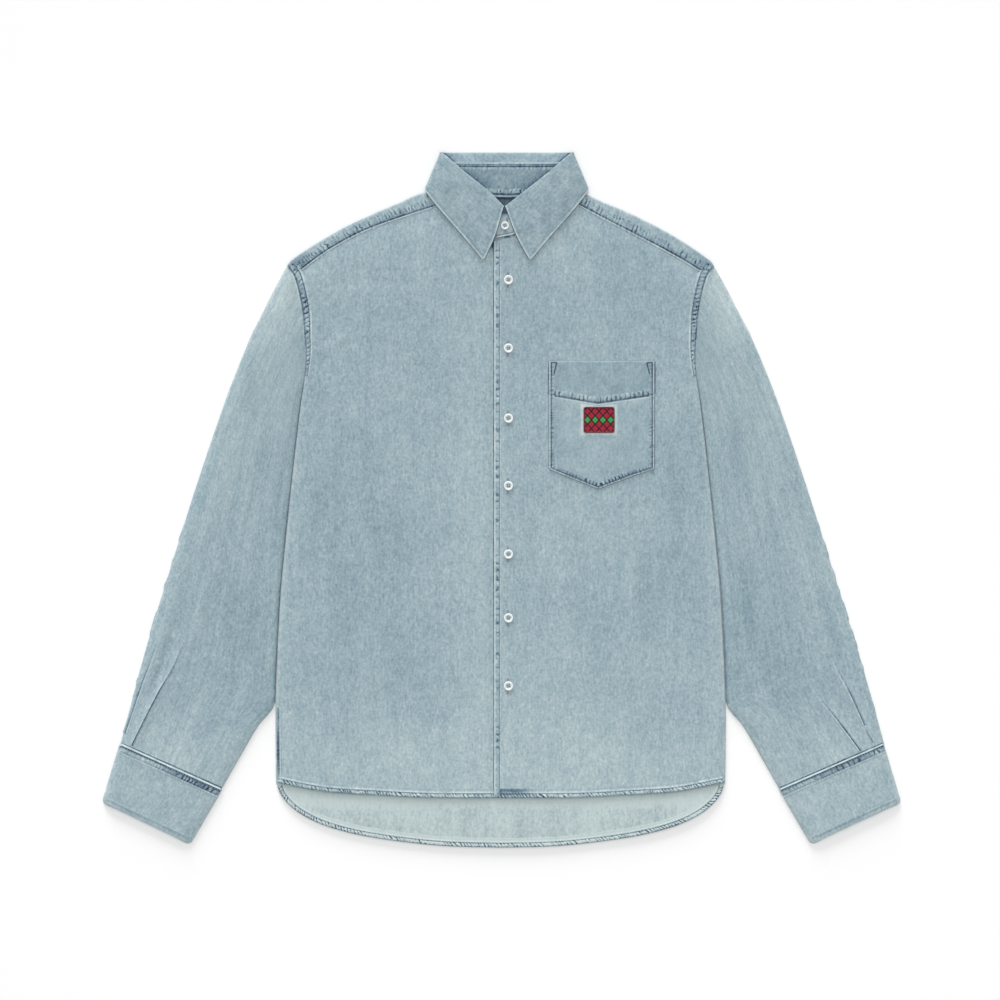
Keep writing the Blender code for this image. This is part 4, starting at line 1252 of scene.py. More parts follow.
def cuff(name, side):
    top = edge_shares(CUFF_WIDTH, 59)
    s = join(np.linspace(0, 0.93, 45), np.linspace(0.94, 1, 8))[:, None]
    points, u = flat_tube(side, cuff_top, cuff_plan, CUFF_CLOTH / 2, s, top, 13)
    grain = grain_field(u * CUFF_WIDTH, -s * CUFF_DEPTH, 7 if side > 0 else 8)
    edge = -0.08 * near((1 - s) * CUFF_DEPTH, 3.0)
    edge = edge - 0.08 * near(np.minimum(u, 1 - u) * CUFF_WIDTH, 4.0)
    dye_and_shading = 0.03 * noise(u * 9.0, s * 5.0, 53) + 0.02 * noise(u * 40.0, s * 9.0, 54) + edge
    dye_and_shading = dye_and_shading - (0.065 if side > 0 else 0.02)
    return cloth_object(name, points, {"grain": grain, "dye_and_shading": dye_and_shading}, CUFF_CLOTH / 2,
                        denim("denim_washed"), closed=True, facing=(20, len(top) // 2), step=1)


class SHIRT_OT_sleeves(Operator):
    """Add the sleeves and their cuffs, flattened on the floor"""

    bl_idname = "shirt.sleeves"
    bl_label = "Sleeves and cuffs"

    def execute(self, context):
        for word, side in (("right", -1), ("left", 1)):
            settle(sleeve(f"shirt_sleeve_{word}", side), "denim", f"sleeve_{word}")
            settle(cuff(f"shirt_cuff_{word}", side), "denim", f"cuff_{word}")
        return {"FINISHED"}


# --- collar ---
COLLAR_SPACING = (22, 26, 20, 8, 8, 20, 22)  # mesh rows between two rows of the table
COLLAR_INSIDE_LAY = -0.3  # rows below this lie under the leaves
LEAF_FRONT_ROWS = (0.012, 0.024)  # two more rows close to the leaf's front edge


def collar_rows():
    """The whole collar, +X end first: side, row in the table, lay, edge, roll, seam, neck."""
    where = [np.linspace(k, k + 1, n, endpoint=False) for k, n in enumerate(COLLAR_SPACING)]
    where = np.unique(join(*where, LEAF_FRONT_ROWS, [len(COLLAR) - 1]))
    flat = [(lay, *edge, *roll, *seam, *neck) for lay, edge, roll, seam, neck in COLLAR]
    half = spline(flat, where)
    rows = join(half, half[-2::-1])
    side = join(np.ones(len(half)), -np.ones(len(half) - 1))
    place = join(where, where[-2::-1])
    parts = [rows[:, k:k + 3].copy() for k in (1, 4, 7, 10)]
    for part in parts:
        part[:, 0] = NECK_X + side * part[:, 0]
    parts[1][:, 0] += np.where(side > 0, *LEAF_MEET) * np.clip(1 - place, 0.0, 1.0)
    return (side, place, rows[:, 0], *parts)


def toward(a, b, distance):
    """Points at a distance from a on the way to b."""
    way = b - a
    return a + way * (distance / norm(way, axis=-1, keepdims=True))


def beside_leaves(x, y):
    """Distance from the lines along which the two leaves roll over."""
    side, _, lay, _, roll, _, _ = collar_rows()
    nearest = np.full(np.shape(x), 1e9)
    for sign in (1, -1):
        line = roll[(side == sign) & (lay > 0.2)]
        line = spline(line, np.linspace(0, len(line) - 1, 4 * len(line)))
        reach = np.hypot(x[..., None] - line[:, 0], y[..., None] - line[:, 1])
        nearest = np.minimum(nearest, reach.min(axis=-1))
    return nearest


def blunt(points, corner, along_row, along_column, radius):
    """Points of a grid moved in to the round tip of its corner."""
    tip = points[corner][:2]
    one, other = (points[at][:2] - tip for at in (along_row, along_column))
    one, other = one / norm(one), other / norm(other)
    half_angle = math.acos(float(np.clip(one @ other, -1, 1))) / 2
    middle = one + other
    centre = tip + middle / norm(middle) * radius / math.sin(half_angle)
    tangent = radius / math.tan(half_angle)
    way = points[..., :2] - centre
    reach = norm(way, axis=-1)
    from_tip = points[..., :2] - tip
    outside = (reach > radius) & (from_tip @ one < tangent) & (from_tip @ other < tangent)
    outside &= norm(from_tip, axis=-1) < 1.5 * tangent
    moved = centre + way * (radius / np.maximum(reach, 1e-6))[..., None]
    points[..., :2] = np.where(outside[..., None], moved, points[..., :2])


def leaf_grid():
    """The fall from its edge over its roll to the stand: its middle, and places on it."""
    side, place, lay, edge, roll, seam, _ = collar_rows()
    level_roll = grid(roll[:, 0], roll[:, 1], edge[:, 2])
    outline = toward(level_roll, edge, COLLAR_CLOTH / 2)
    outline[:, 2] = roll[:, 2]
    crest = toward(level_roll, edge, COLLAR_CLOTH / 2 + ROLL_RADIUS)
    crest[:, 2] = roll[:, 2] + lay * ROLL_RADIUS
    sunk = np.clip(4 - 3 * place, 0.0, 1.0) * FALL_DROP * (side < 0)
    seam[:, 2] -= sunk
    belly = mix(edge, crest, 0.5)
    belly[:, 2] += LEAF_BELLY * np.maximum(lay, 0.0)
    belly[:, 0] -= side * LEAF_FRONT_BOW * np.clip(1 - place / FRONT_BOW_REACH, 0.0, 1.0)
    leaf = join(np.linspace(0, 0.06, 5)[:-1], np.linspace(0.06, 2.0, 45))
    across = join(leaf, np.linspace(2.0, 4.0, 17)[1:])
    points = spline(np.stack([edge, belly, crest, outline, seam]), across).transpose(1, 0, 2)
    to_edge = norm(points - points[:, :1], axis=2)
    to_front = np.minimum(norm(points - points[:1], axis=2), norm(points - points[-1:], axis=2))
    to_rim = np.minimum(to_edge, to_front)
    swell = 0.22 * near(to_rim - 1.4, 1.1) - 0.3 * near(to_rim - LEAF_STITCH, 1.0)
    on_top = np.clip(lay, 0, 1)[:, None] * (across < 1.8)[None, :]
    points[..., 2] += swell * on_top
    x, y = points[..., 0], points[..., 1]
    points[..., 2] += 0.25 * noise(x / 23, y / 19, 61) * on_top
    for corner, step in ((0, 8), (-1, -9)):
        blunt(points, (corner, 0), (step, 0), (corner, 8), LEAF_TIP)
    return points, to_rim, across, place, lay, side


def collar_fall():
    """The leaf rises from its edge, rolls over and comes back to the stand."""
    points, to_rim, across, _, lay, side = leaf_grid()
    half = mix(0.2, COLLAR_CLOTH / 2, rounding(to_rim, 1.6))
    x, y = points[..., 0], points[..., 1]
    grain = grain_field(*rotated(x, y, np.radians(45) * side[:, None]), 9)
    dye_and_shading = 0.05 * noise(x / 11, y / 13, 62) + 0.035 * noise(x / 3.5, y / 4.5, 63)
    # a painted highlight just inside the leaf's edge, and painted shade on the outermost edge, which
    # faces down
    dye_and_shading = dye_and_shading - 0.38 * near(to_rim - 1.2, 0.7) + 0.9 * near(to_rim, 0.55)
    dye_and_shading = dye_and_shading + 0.07 * near(to_rim - LEAF_STITCH, 0.9)
    # painted shade on the fall under the leaves, darkest along the lines where they roll over
    inside = (across > 2.0)[None, :] * ease((0.2 - lay) / 0.5)[:, None]
    beside = beside_leaves(x, y)
    dye_and_shading = dye_and_shading + inside * (0.04 + 0.60 * near(beside, 2.2) + 0.10 * near(beside, 8.0))
    return cloth_object("shirt_collar_fall", points, {"grain": grain, "dye_and_shading": dye_and_shading}, half,
                        denim("denim_of_collar"), facing=(20, 30))


def leaf_stitch_line(points, sign):
    """The line of a leaf's stitching, from under the shoulder round its tip to its front top."""
    leaf = points[::sign]
    line = np.array([point_at(row, runs_of(row), LEAF_STITCH) for row in leaf[96::-1]])
    line = line[norm(line - line[-1], axis=1) > LEAF_STITCH / math.sin(math.radians(50))]
    columns = leaf[:30, 4:44].transpose(1, 0, 2)
    front = np.array([point_at(column, runs_of(column), LEAF_STITCH) for column in columns])
    front = front[norm(front - leaf[0, 0], axis=1) > LEAF_STITCH / math.sin(math.radians(40))]
    return join(line, front)


def stand_bands():
    """Seam and neck edge of the stand, from the tip of its upper end round to its lower."""
    side, place, _, _, _, seam, neck = collar_rows()
    reach = np.linspace(1.0, 0.0, 14, endpoint=False)[:, None]
    tips = []
    for sign, lap, drop, end in ((1, STAND_LAP_OVER, 0.0, 0), (-1, STAND_LAP_UNDER, STAND_DROP, -1)):
        shift = join(-sign * lap * reach, 0 * reach, 0 * reach - drop, axis=1)
        corner = STAND_TIP_CORNER * np.maximum(reach - 0.85, 0) / 0.15
        top, foot = seam[end] + shift, neck[end] + shift
        top[:, 1:2] -= corner
        foot[:, 1:2] -= STAND_LAP_SLOPE * lap * reach
        tips.append((top, foot))
    sunk = STAND_DROP * np.maximum(0.0, 1 - place) * (side < 0)
    seam[:, 2] -= sunk
    neck[:, 2] -= sunk
    tops = join(tips[0][0], seam, tips[1][0][::-1])
    feet = join(tips[0][1], neck, tips[1][1][::-1])
    return toward(tops, feet, STAND_SEAM), feet


def collar_stand():
    """The band from the neck seam to the fall; its ends lap at the front."""
    tops, feet = stand_bands()
    share = np.linspace(0, 1, 49)[None, :, None]
    points = mix(tops[:, None], feet[:, None], share)
    x, y = points[..., 0], points[..., 1]
    depth = norm(points - tops[:, None], axis=2)
    rise = norm(points - feet[:, None], axis=2)
    run = np.broadcast_to(runs_of(feet)[:, None], depth.shape)
    points[..., 2] += 0.18 * noise(run / 7, depth / 9, 64) - 0.25 * near(rise - 3.2, 0.8)
    dye_and_shading = 0.05 * noise(run / 9, depth / 7, 65) + 0.11 + 0.35 * near(depth, 2.0)
    dye_and_shading = dye_and_shading + 0.50 * near(rise - 3.2, 0.6) - 0.26 * near(rise - 1.6, 0.7)
    dye_and_shading = dye_and_shading + 0.60 * near(rise, 0.7)
    # painted shade along the lines where the leaves roll over the stand
    beside = beside_leaves(x, y)
    dye_and_shading = dye_and_shading + 0.34 * near(beside, 2.2) + 0.10 * near(beside, 8.0)
    dye_and_shading = dye_and_shading - 0.24 * ease((348.0 - y) / 12)  # the paler ends at the front: painted light that offsets the leaves' shadow
    fields = {"grain": grain_field(run, depth, 10), "dye_and_shading": dye_and_shading}
    return cloth_object("shirt_collar_stand", points, fields, COLLAR_CLOTH / 2,
                        denim("denim_of_collar"), facing=(5, 24))


class SHIRT_OT_collar(Operator):
    """Add the collar: a stand whose ends lap, and a fall rolled over it"""

    bl_idname = "shirt.collar"
    bl_label = "Collar"

    def execute(self, context):
        settle(collar_stand(), "denim_collar", "collar_stand")
        settle(collar_fall(), "denim_collar", "collar_fall")
        points = leaf_grid()[0]
        stitches = Stitching(9)
        for sign in (1, -1):
            stitches.line(leaf_stitch_line(points, sign), COLLAR_CLOTH / 2)
        stitches.finish("stitching_collar", "denim_collar")
        return {"FINISHED"}


# --- pocket and patch ---
def pocket_foot(x):
    return np.interp(x, *zip(*POCKET_FOOT))


def pocket_band_y(x):
    return np.interp(x, *zip(*POCKET_BAND_LINE))


def pocket_middle(x, y):
    """Height of the middle of the pocket's cloth, which is thicker under its band."""
    above = y - pocket_band_y(x)
    lift = CLOTH + SEAM_GAP + 0.45 * ease(above / 3) - 0.25 * near(above, 1.6)
    return front_middle(1, x, y) + lift


def pocket_face(x, y):
    return pocket_middle(x, y) + CLOTH / 2


def pocket():
    across, drop = np.meshgrid(np.linspace(0, 1, 99), np.linspace(0, 1, 109))
    x = mix(POCKET_LEFT, POCKET_RIGHT, across)
    y = mix(POCKET_TOP, pocket_foot(x), drop)
    inward = np.minimum(np.minimum(x - POCKET_LEFT, POCKET_RIGHT - x), y - pocket_foot(x))
    z = pocket_middle(x, y) - 0.5 * (1 - rounding(np.minimum(inward, POCKET_TOP - y), 2.0))
    dye_and_shading = 0.05 * near(inward, 9.0) + 0.035 * noise(x / 9, y / 12, 71) - 0.05 * np.exp(
        -(((x - PATCH_CENTRE[0]) / 26) ** 2 + ((y - PATCH_CENTRE[1] + 6.0) / 24) ** 2))
    above = y - pocket_band_y(x)
    beside = np.maximum(np.abs(x - PATCH_CENTRE[0]) - PATCH_SIZE[0] / 2,
                        np.abs(y - PATCH_CENTRE[1]) - PATCH_SIZE[1] / 2)
    dye_and_shading = dye_and_shading + 0.06 * ease(above / 4) - 0.05 * near(above + 5.0, 3.0)
    dye_and_shading = dye_and_shading - 0.26 * near(beside - 1.6, 1.6)
    fields = {"grain": grain_field(x, y, 12), "dye_and_shading": dye_and_shading + 0.02}
    return cloth_object("shirt_pocket", grid(x, y, z), fields, CLOTH / 2, denim("denim_of_pocket"))


class SHIRT_OT_pocket(Operator):
    """Add the chest pocket"""

    bl_idname = "shirt.pocket"
    bl_label = "Pocket"

    def execute(self, context):
        settle(pocket(), "denim_pocket", "pocket")
        return {"FINISHED"}


# --- seams ---
# How a seam gathers (pitch, height, slant, depth of the blue between the gathers), and its
# profile across. rows: aside, height, depth of the blue, share of the gathers.
# ARMHOLE: its pale rows on the sleeve's side, at -2.2 and -1.2 aside, are a painted highlight
ARMHOLE = (5.4, 0.34, 0.4, 0.32), (
    (-3.4, -0.45, 0, 0), (-2.2, 0.22, -0.22, 0.1), (-1.2, 0.2, -0.14, 0.1),
    (-0.4, 0.1, 0.3, 0.3), (0.5, 0.12, 0.3, 0.6), (1.6, 0.45, 0.04, 1), (4.6, 0.45, 0.02, 1),
    (6.1, 0.3, 0.1, 0.9), (7, 0.1, 0.5, 0.5), (7.8, 0.16, 0.04, 0.2), (8.8, 0.24, -0.24, 0.2),
    (10.2, 0.14, -0.12, 0), (11.8, -0.45, 0, 0),
)
SHOULDER_SEAM = (4.7, 0.3, 0.1, 0.25), (
    (-5.2, -0.45, 0, 0), (-4, 0.14, -0.1, 0.1), (-2.8, 0.12, 0.16, 0.3),
    (-1.5, 0.26, -0.26, 0.5), (-0.6, 0.1, 0.26, 0.4), (0, 0.1, 0.54, 0.6),
    (0.8, 0.3, 0.26, 0.9), (2.4, 0.4, 0.1, 1), (5, 0.3, 0.04, 1), (8.6, 0.2, 0, 0.7),
    (12.4, -0.45, 0, 0),
)
SHOULDER_END = (6.4, 0.34, 0.3, 0.34), (
    (0, -0.3, 0.3, 0), (0.8, 0.14, 0.3, 0.2), (1.6, 0.3, 0.06, 0.6), (4.4, 0.4, 0.08, 0.8),
    (5.4, 0.1, 0.86, 0.2), (6.4, 0.1, 0.8, 0.2), (7.4, 0.24, 0.28, 0.8), (9, 0.3, 0.24, 1),
    (12.5, 0.2, 0.18, 0.8), (16, -0.45, 0.08, 0.3),
)
HEM = (4, 0.32, 0.7, 0.4), (
    (0, -0.9, 0.34, 0), (0.5, 0.1, 0.34, 0.6), (1.3, 0.45, -0.04, 1), (3.4, 0.5, -0.1, 1),
    (4.6, 0.2, 0.02, 0.9), (5.4, 0.1, 0.42, 0.4), (6.2, 0.26, -0.26, 0.2),
    (7.2, 0.22, -0.22, 0.1), (8.6, 0.12, -0.06, 0), (11, 0.1, -0.03, 0), (13, -0.45, 0, 0),
)
# LAP: its rows below 0 aside lie on the under front beside the over-lap's edge, painted darker as the
# shadow of that edge
LAP = (9.5, 0.18, 0, 0.22), (
    (-2, -1.9, 0, 0), (-1.3, -1.5, 0.3, 0), (-0.6, -1.4, 0.55, 0), (-0.1, -1.2, 0.5, 0),
    (0.2, 0.1, 0.1, 0), (0.9, 0.28, -0.32, 0.1), (2, 0.28, -0.1, 0.3), (3.4, 0.24, 0, 1),
    (5.2, 0.16, -0.04, 0.9), (6.2, 0.12, 0.1, 0.5), (6.8, 0.1, 0.36, 0.3),
    (7.5, 0.16, -0.2, 0.1), (9.4, -0.45, 0, 0),
)
SIDE_SEAM = (4.6, 0.26, 0.6, 0.16), (
    (0.9, -0.8, 0.2, 0), (1.5, 0.1, 0.24, 0.6), (2.6, 0.32, 0.06, 1), (3.8, 0.12, 0.34, 0.4),
    (4.6, 0.2, -0.05, 0.1), (5.6, 0.25, -0.24, 0.1), (6.4, 0.12, 0.12, 0), (8.6, -0.45, 0, 0),
)
CUFF_SEAM = (6.6, 0.26, 0.3, 0.28), (
    (-5, -0.45, 0, 0), (-3.4, 0.16, -0.02, 0.3), (-2.6, 0.12, 0.34, 0.2), (-2, 0.1, 0.55, 0.1),
    (-1.4, 0.24, -0.1, 0), (-0.6, 0.42, -0.42, 0), (0.2, 0.24, -0.05, 0), (0.8, 0.1, 0.85, 0.1),
    (1.5, 0.12, 0.6, 0.3), (2.6, 0.32, 0.08, 1), (5.6, 0.34, 0.02, 1), (7.2, 0.14, 0.14, 0.6),
    (8.2, 0.24, -0.22, 0.2), (10, 0.12, -0.02, 0.1), (12, -0.45, 0, 0),
)
CUFF_EDGE = (7, 0.12, 0.4, 0.06), (
    (0.6, -0.6, -0.05, 0), (1.5, 0.14, -0.1, 0.5), (4, 0.12, -0.02, 0.8), (6, 0.1, 0.04, 0.5),
    (7.4, 0.14, -0.02, 0.1), (9.4, -0.45, 0, 0),
)
# POCKET_EDGE: its rows below 0 aside lie outside the pocket, painted darker as the shadow of its edge
POCKET_EDGE = (4.6, 0.18, 0.2, 0.24), (
    (-1.6, -1.6, 0, 0), (-0.5, -1.5, 0.55, 0), (-0.1, -1.4, 0.55, 0), (0.3, 0.1, 0.05, 0),
    (0.9, 0.22, -0.24, 0.6), (1.6, 0.2, -0.1, 0.6), (2.2, 0.1, 0.5, 0.6), (2.8, 0.1, 0.58, 0.7),
    (3.5, 0.16, 0.14, 0.9), (4.8, 0.16, 0.06, 1), (6.4, 0.12, 0.03, 0.5), (9, -0.45, 0, 0),
)
POCKET_BAND = (5, 0.13, 0, 0.22), (
    (-5, -0.45, -0.02, 0), (-3, 0.12, -0.08, 0), (-1.2, 0.14, -0.1, 0.1), (-0.3, 0.1, 0.5, 0.3),
    (0.4, 0.1, 0.5, 0.5), (1.4, 0.18, 0.16, 1), (3.6, 0.18, 0.05, 1), (6.5, 0.12, 0, 0.6),
    (9, -0.45, 0, 0),
)
COLLAR_SEAM = (6, 0.16, 0.3, 0.16), (
    (-5, -0.45, 0, 0), (-3.4, 0.12, -0.02, 0.2), (-1.9, 0.2, -0.1, 0.2), (-0.9, 0.1, 0.36, 0.3),
    (-0.1, 0.12, 0.3, 0.4), (0.7, 0.18, 0.12, 0.6), (1.5, 0.1, 0.66, 0.4),
    (2.8, 0.15, 0.04, 0.6), (5.4, 0.12, 0, 0.4), (8, -0.45, 0, 0),
)
NECK_SEAM = (4.2, 0.18, 0.2, 0.34), (
    (-12, -0.45, 0, 0), (-10, 0.14, 0.04, 0.7), (-6.4, 0.16, 0.12, 1), (-5.2, 0.1, 0.6, 0.5),
    (-4.2, 0.1, 0.7, 0.3), (-2.8, 0.2, -0.02, 0.1), (-1.8, 0.2, -0.06, 0), (-0.7, 0.1, 0.7, 0),
    (0.3, 0.1, 0.75, 0), (1, -0.6, 0.8, 0),
)
# PLEAT: a painted highlight on the raised fold, below 0 aside, and a painted shadow at its foot, above 0
# aside
PLEAT = (5, 0, 0, 0), (
    (-4.5, -0.45, 0, 0), (-2.4, 0.24, -0.03, 0), (-1.1, 0.5, -0.26, 0), (-0.4, 0.36, -0.12, 0),
    (0.2, 0.12, 0.58, 0), (1, 0.1, 0.5, 0), (1.8, 0.12, 0.16, 0), (3, 0.1, 0.04, 0),
    (4.2, -0.45, 0, 0),
)
# rows: side, name, head (x, y), foot (x, y), strength, and +1 where its shade lies towards
# the inner fold of the sleeve or -1 where it lies towards the outer fold
PLEATS = (
    (-1, "deep", (-374, -158), (-442.8, -294.5), 0.9, 1),
    (-1, "slight", (-409, -164), (-450, -280), 0.8, -1),
    (1, "deep", (376.5, -231.5), (430.9, -301), 1.1, -1),
    (1, "slight", (396, -185), (436, -270), 0.8, -1),
    (1, "foot", (436, -272), (447.5, -290.5), 0.6, 1),
)


def body_side(side, start, end, count=200, inward=0.0):
    """A line up the side of the body between two heights."""
    y = np.linspace(start, end, count)
    return grid(side * (curve(BODY_EDGE, y) - inward), y)


def hem_line(rows, x):
    return grid(x, curve(rows, np.abs(x)))


def rounded_line(corners, step=1.0, soften=2):
    """A line through corners at even steps, with the corners softened."""
    corners = np.asarray(corners, float)
    runs = runs_of(corners)
    line = point_at(corners, runs, np.linspace(0, runs[-1], int(runs[-1] / step) + 1))
    for _ in range(soften):
        line[1:-1] = (line[:-2] + 2 * line[1:-1] + line[2:]) / 4
    return line


def armhole_band(side):
    tints = ((0, 0), (0.2, 0), (0.36, 0.08), (0.5, 0), (0.66, 0.22), (0.8, 0.06), (1, -0.04))
    bite = ((0, 0.7), (0.3, 1.1), (0.45, 0.8), (0.62, 1.2), (0.85, 0.7), (1, 0.6))
    squeeze = ((0, 0.42), (0.15, 0.6), (0.35, 0.8), (0.6, 0.95), (1, 1))
    if side < 0:
        tints, squeeze, bite = (turned(rows) for rows in (tints, squeeze, bite))
    path = body_side(side, UNDERARM_Y + 3.0, FRONT_SEAM_Y + 1.5)[::side]
    ground, run = path_ground(path, front_face(side))
    low, high = (run - 42.0, 28.0) if side < 0 else (42.0, run - 28.0)
    spots = ((low, -1.7, 44.0, 1.3, 0.26),  # lower down, the sleeve's side is in the shade
             (high, 9.0, 17.0, 1.7, 0.16))  # and higher up, the front's pale edge fades
    return Band(ground, run, ARMHOLE, 100 + side, tints, squeeze=squeeze, bite=bite, spots=spots)


def shoulder_band(side):
    seam = YOKE_SEAM[side]
    out = np.linspace(abs(seam[0][0]) + 1.0, abs(seam[-1][0]) - 3.5, 200)
    path = grid(side * out, yoke_seam(side, out))[::side]
    tints = ((0, 0.12), (0.12, 0.02), (0.5, 0.05), (0.85, 0.04), (0.97, 0.25), (1, 0.25))
    return Band(*path_ground(path, front_face(side)), SHOULDER_SEAM, 114 + side,
                tints if side > 0 else turned(tints))


def shoulder_end_band(side):
    """The armhole's seam goes on over the end of the yoke's strip, deeply puckered."""
    path = body_side(side, FRONT_SEAM_Y + 0.6, SHOULDER_Y - 1.4, 40, inward=0.3)[::side]
    return Band(*path_ground(path, front_face(side)), SHOULDER_END, 116 + side)


def front_hem_band(side):
    end = FRONT_HEM[-1][0] - 0.6
    if side > 0:
        x = np.linspace(OVER_EDGE_X + 0.4, end, 300)
        tints = ((0, 0.1), (0.1, 0), (0.55, 0.02), (0.8, 0.06), (1, 0.08))
        spots = ((22.0, 7.8, 19.0, 5.0, 0.44), (7.6, 11.0, 1.6, 5.0, 0.34))  # the lap's thick foot
    else:
        x = np.linspace(-end, OVER_EDGE_X + 4.0, 300)
        tints = ((0, 0.08), (0.12, 0.04), (0.3, 0.08), (0.5, 0.02), (0.9, 0.04), (1, 0.1))
        spots = ()
    return Band(*path_ground(hem_line(FRONT_HEM, x), front_face(side)), HEM, 120 + side, tints,
                spots=spots)


def tail_band():
    path = hem_line(BACK_HEM, np.linspace(-0.995, 0.995, 500) * BACK_HEM[-1][0])
    tints = ((0, 0.05), (0.15, 0.12), (0.3, 0.02), (0.45, 0.1), (0.6, 0), (0.75, 0.12), (1, 0.06))
    return Band(*path_ground(path, tail_face), HEM, 130, tints)


def lap_band():
    top = float(front_top(1, OVER_EDGE_X + 1.0)) - 1.0
    foot = float(curve(FRONT_HEM, 0.0)) + 1.0
    path = rounded_line([(OVER_EDGE_X, top), (OVER_EDGE_X, foot)])
    tints = ((0, 0.03), (0.2, 0), (0.7, 0.03), (1, 0.06))
    return Band(*path_ground(path, front_face(1)), LAP, 140, tints)


def side_seam_band():
    path = body_side(-1, FORK_Y - 5.0, BODY_EDGE[0][0] + 3.0)
    return Band(*path_ground(path, front_face(-1)), SIDE_SEAM, 150, spots=((50.0, 2.4, 20.0, 1.8, 0.4),))


def cuff_seam_ground(side):
    """Places by the cuff seam: run from the outer fold, aside down the cuff."""
    width = float(cuff_width(0.0))

    def ground(run, aside):
        u = run / width
        on_cuff = cuff_top(side, np.maximum(aside, 0) / CUFF_SIDE, u)
        on_cuff[..., 2] += CUFF_CLOTH / 2
        on_sleeve = sleeve_top(side, 1 + np.minimum(aside, 0) / SLEEVE_LENGTH, u)
        on_sleeve[..., 2] += CLOTH / 2
        blend = ease((aside + 1.0) / 2)[..., None]
        return mix(on_sleeve, on_cuff, blend)

    return ground, width


def cuff_seam_band(side):
    ground, width = cuff_seam_ground(side)
    tints = (((0, 0.05), (0.08, 0.14), (0.35, 0.18), (0.6, 0.14), (0.75, 0), (1, 0)) if side > 0
             else ((0, -0.06), (0.4, -0.04), (0.55, 0.16), (0.75, 0.3), (0.95, 0.24), (1, 0.1)))
    bite = (((0, 0.7), (0.1, 1), (0.5, 1), (0.65, 0.4), (1, 0.4)) if side > 0
            else ((0, 0.3), (0.3, 0.25), (0.5, 0.7), (0.65, 1), (1, 1.1)))
    return Band(lambda run, aside: ground(run + 1.0, aside), width - 2.0, CUFF_SEAM,
                160 + side, tints, bite=bite)


def cuff_edge_band(side):
    width = float(cuff_width(1.0))

    def ground(run, aside):
        points = cuff_top(side, 1 - aside / CUFF_SIDE, (run + 5.0) / width)
        points[..., 2] += CUFF_CLOTH / 2
        return points

    return Band(ground, width - 10.0, CUFF_EDGE, 170 + side)


def pocket_edge_band():
    top = POCKET_TOP - 1.0
    path = rounded_line([(POCKET_LEFT, top), *POCKET_FOOT, (POCKET_RIGHT, top)])
    tints = ((0, 0.03), (0.2, 0), (0.33, 0.06), (0.42, 0.16), (0.5, 0.12), (0.6, 0.17),
             (0.68, 0.08), (0.82, 0.02), (1, 0.05))
    bite = ((0, 0.5), (0.3, 0.6), (0.4, 1.4), (0.6, 1.4), (0.7, 0.6), (1, 0.5))
    return Band(*path_ground(path, pocket_face), POCKET_EDGE, 180, tints, bite=bite)


def pocket_band_band():
    inset = 5.5
    knots = [(x, float(pocket_band_y(x))) for x in
             (POCKET_LEFT + inset, POCKET_TIP_X, POCKET_RIGHT - inset)]
    path = rounded_line(knots, soften=4)
    return Band(*path_ground(path, pocket_face), POCKET_BAND, 190)


def collar_inside(line):
    """A band inside the back of the collar, along the seam or the neck edge of the stand."""
    _, _, lay, _, roll, seam, neck = collar_rows()
    inner = np.flatnonzero(lay < COLLAR_INSIDE_LAY)[::-1]
    seam, neck, roll = seam[inner], neck[inner], roll[inner]
    middle, up, down = {"seam": (seam, roll, neck), "neck": (neck, seam, 2 * neck - seam)}[line]
    runs = runs_of(middle)

    def ground(run, aside):
        here, above, below = (point_at(part, runs, run) for part in (middle, up, down))
        points = np.where((aside > 0)[..., None], toward(here, below, aside[..., None]),
                          toward(here, above, -aside[..., None]))
        points[..., 2] += COLLAR_CLOTH / 2
        return points

    return Band(ground, runs[-1], NECK_SEAM if line == "neck" else COLLAR_SEAM, 200)


def sleeve_place(side, x, y):
    """Shares s and u of the point of a sleeve at x and y."""
    low, high = np.array([0.0, 0.0]), np.array([1.0, 1.0])
    for _ in range(4):
        s, u = np.meshgrid(np.linspace(low[0], high[0], 41), np.linspace(low[1], high[1], 41),
                           indexing="ij")
        at_x, at_y = sleeve_plan(side, s, u)
        best = np.argmin((at_x - x) ** 2 + (at_y - y) ** 2)
        found = np.array([s.flat[best], u.flat[best]])
        reach = (high - low) / 20
        low, high = np.maximum(found - reach, 0), np.minimum(found + reach, 1)
    return found


def pleat_band(side, head, foot, strength, shade, seed):
    """A pressed pleat that runs up the sleeve from the cuff and dies away."""
    run = math.dist(head, foot)
    start, end = sleeve_place(side, *head), sleeve_place(side, *foot)

    def ground(at, aside):
        s, u = (mix(a, b, at / run) for a, b in zip(start, end))
        points = sleeve_top(side, s, u + shade * aside / SLEEVE_WIDTH)
        points[..., 2] += CLOTH / 2
        return points

    fade = ((0, 0), (0.3, 0.45 * strength), (0.6, 0.85 * strength), (1, strength))
    return Band(ground, run, PLEAT, seed, fade=fade, sunk=0.03)


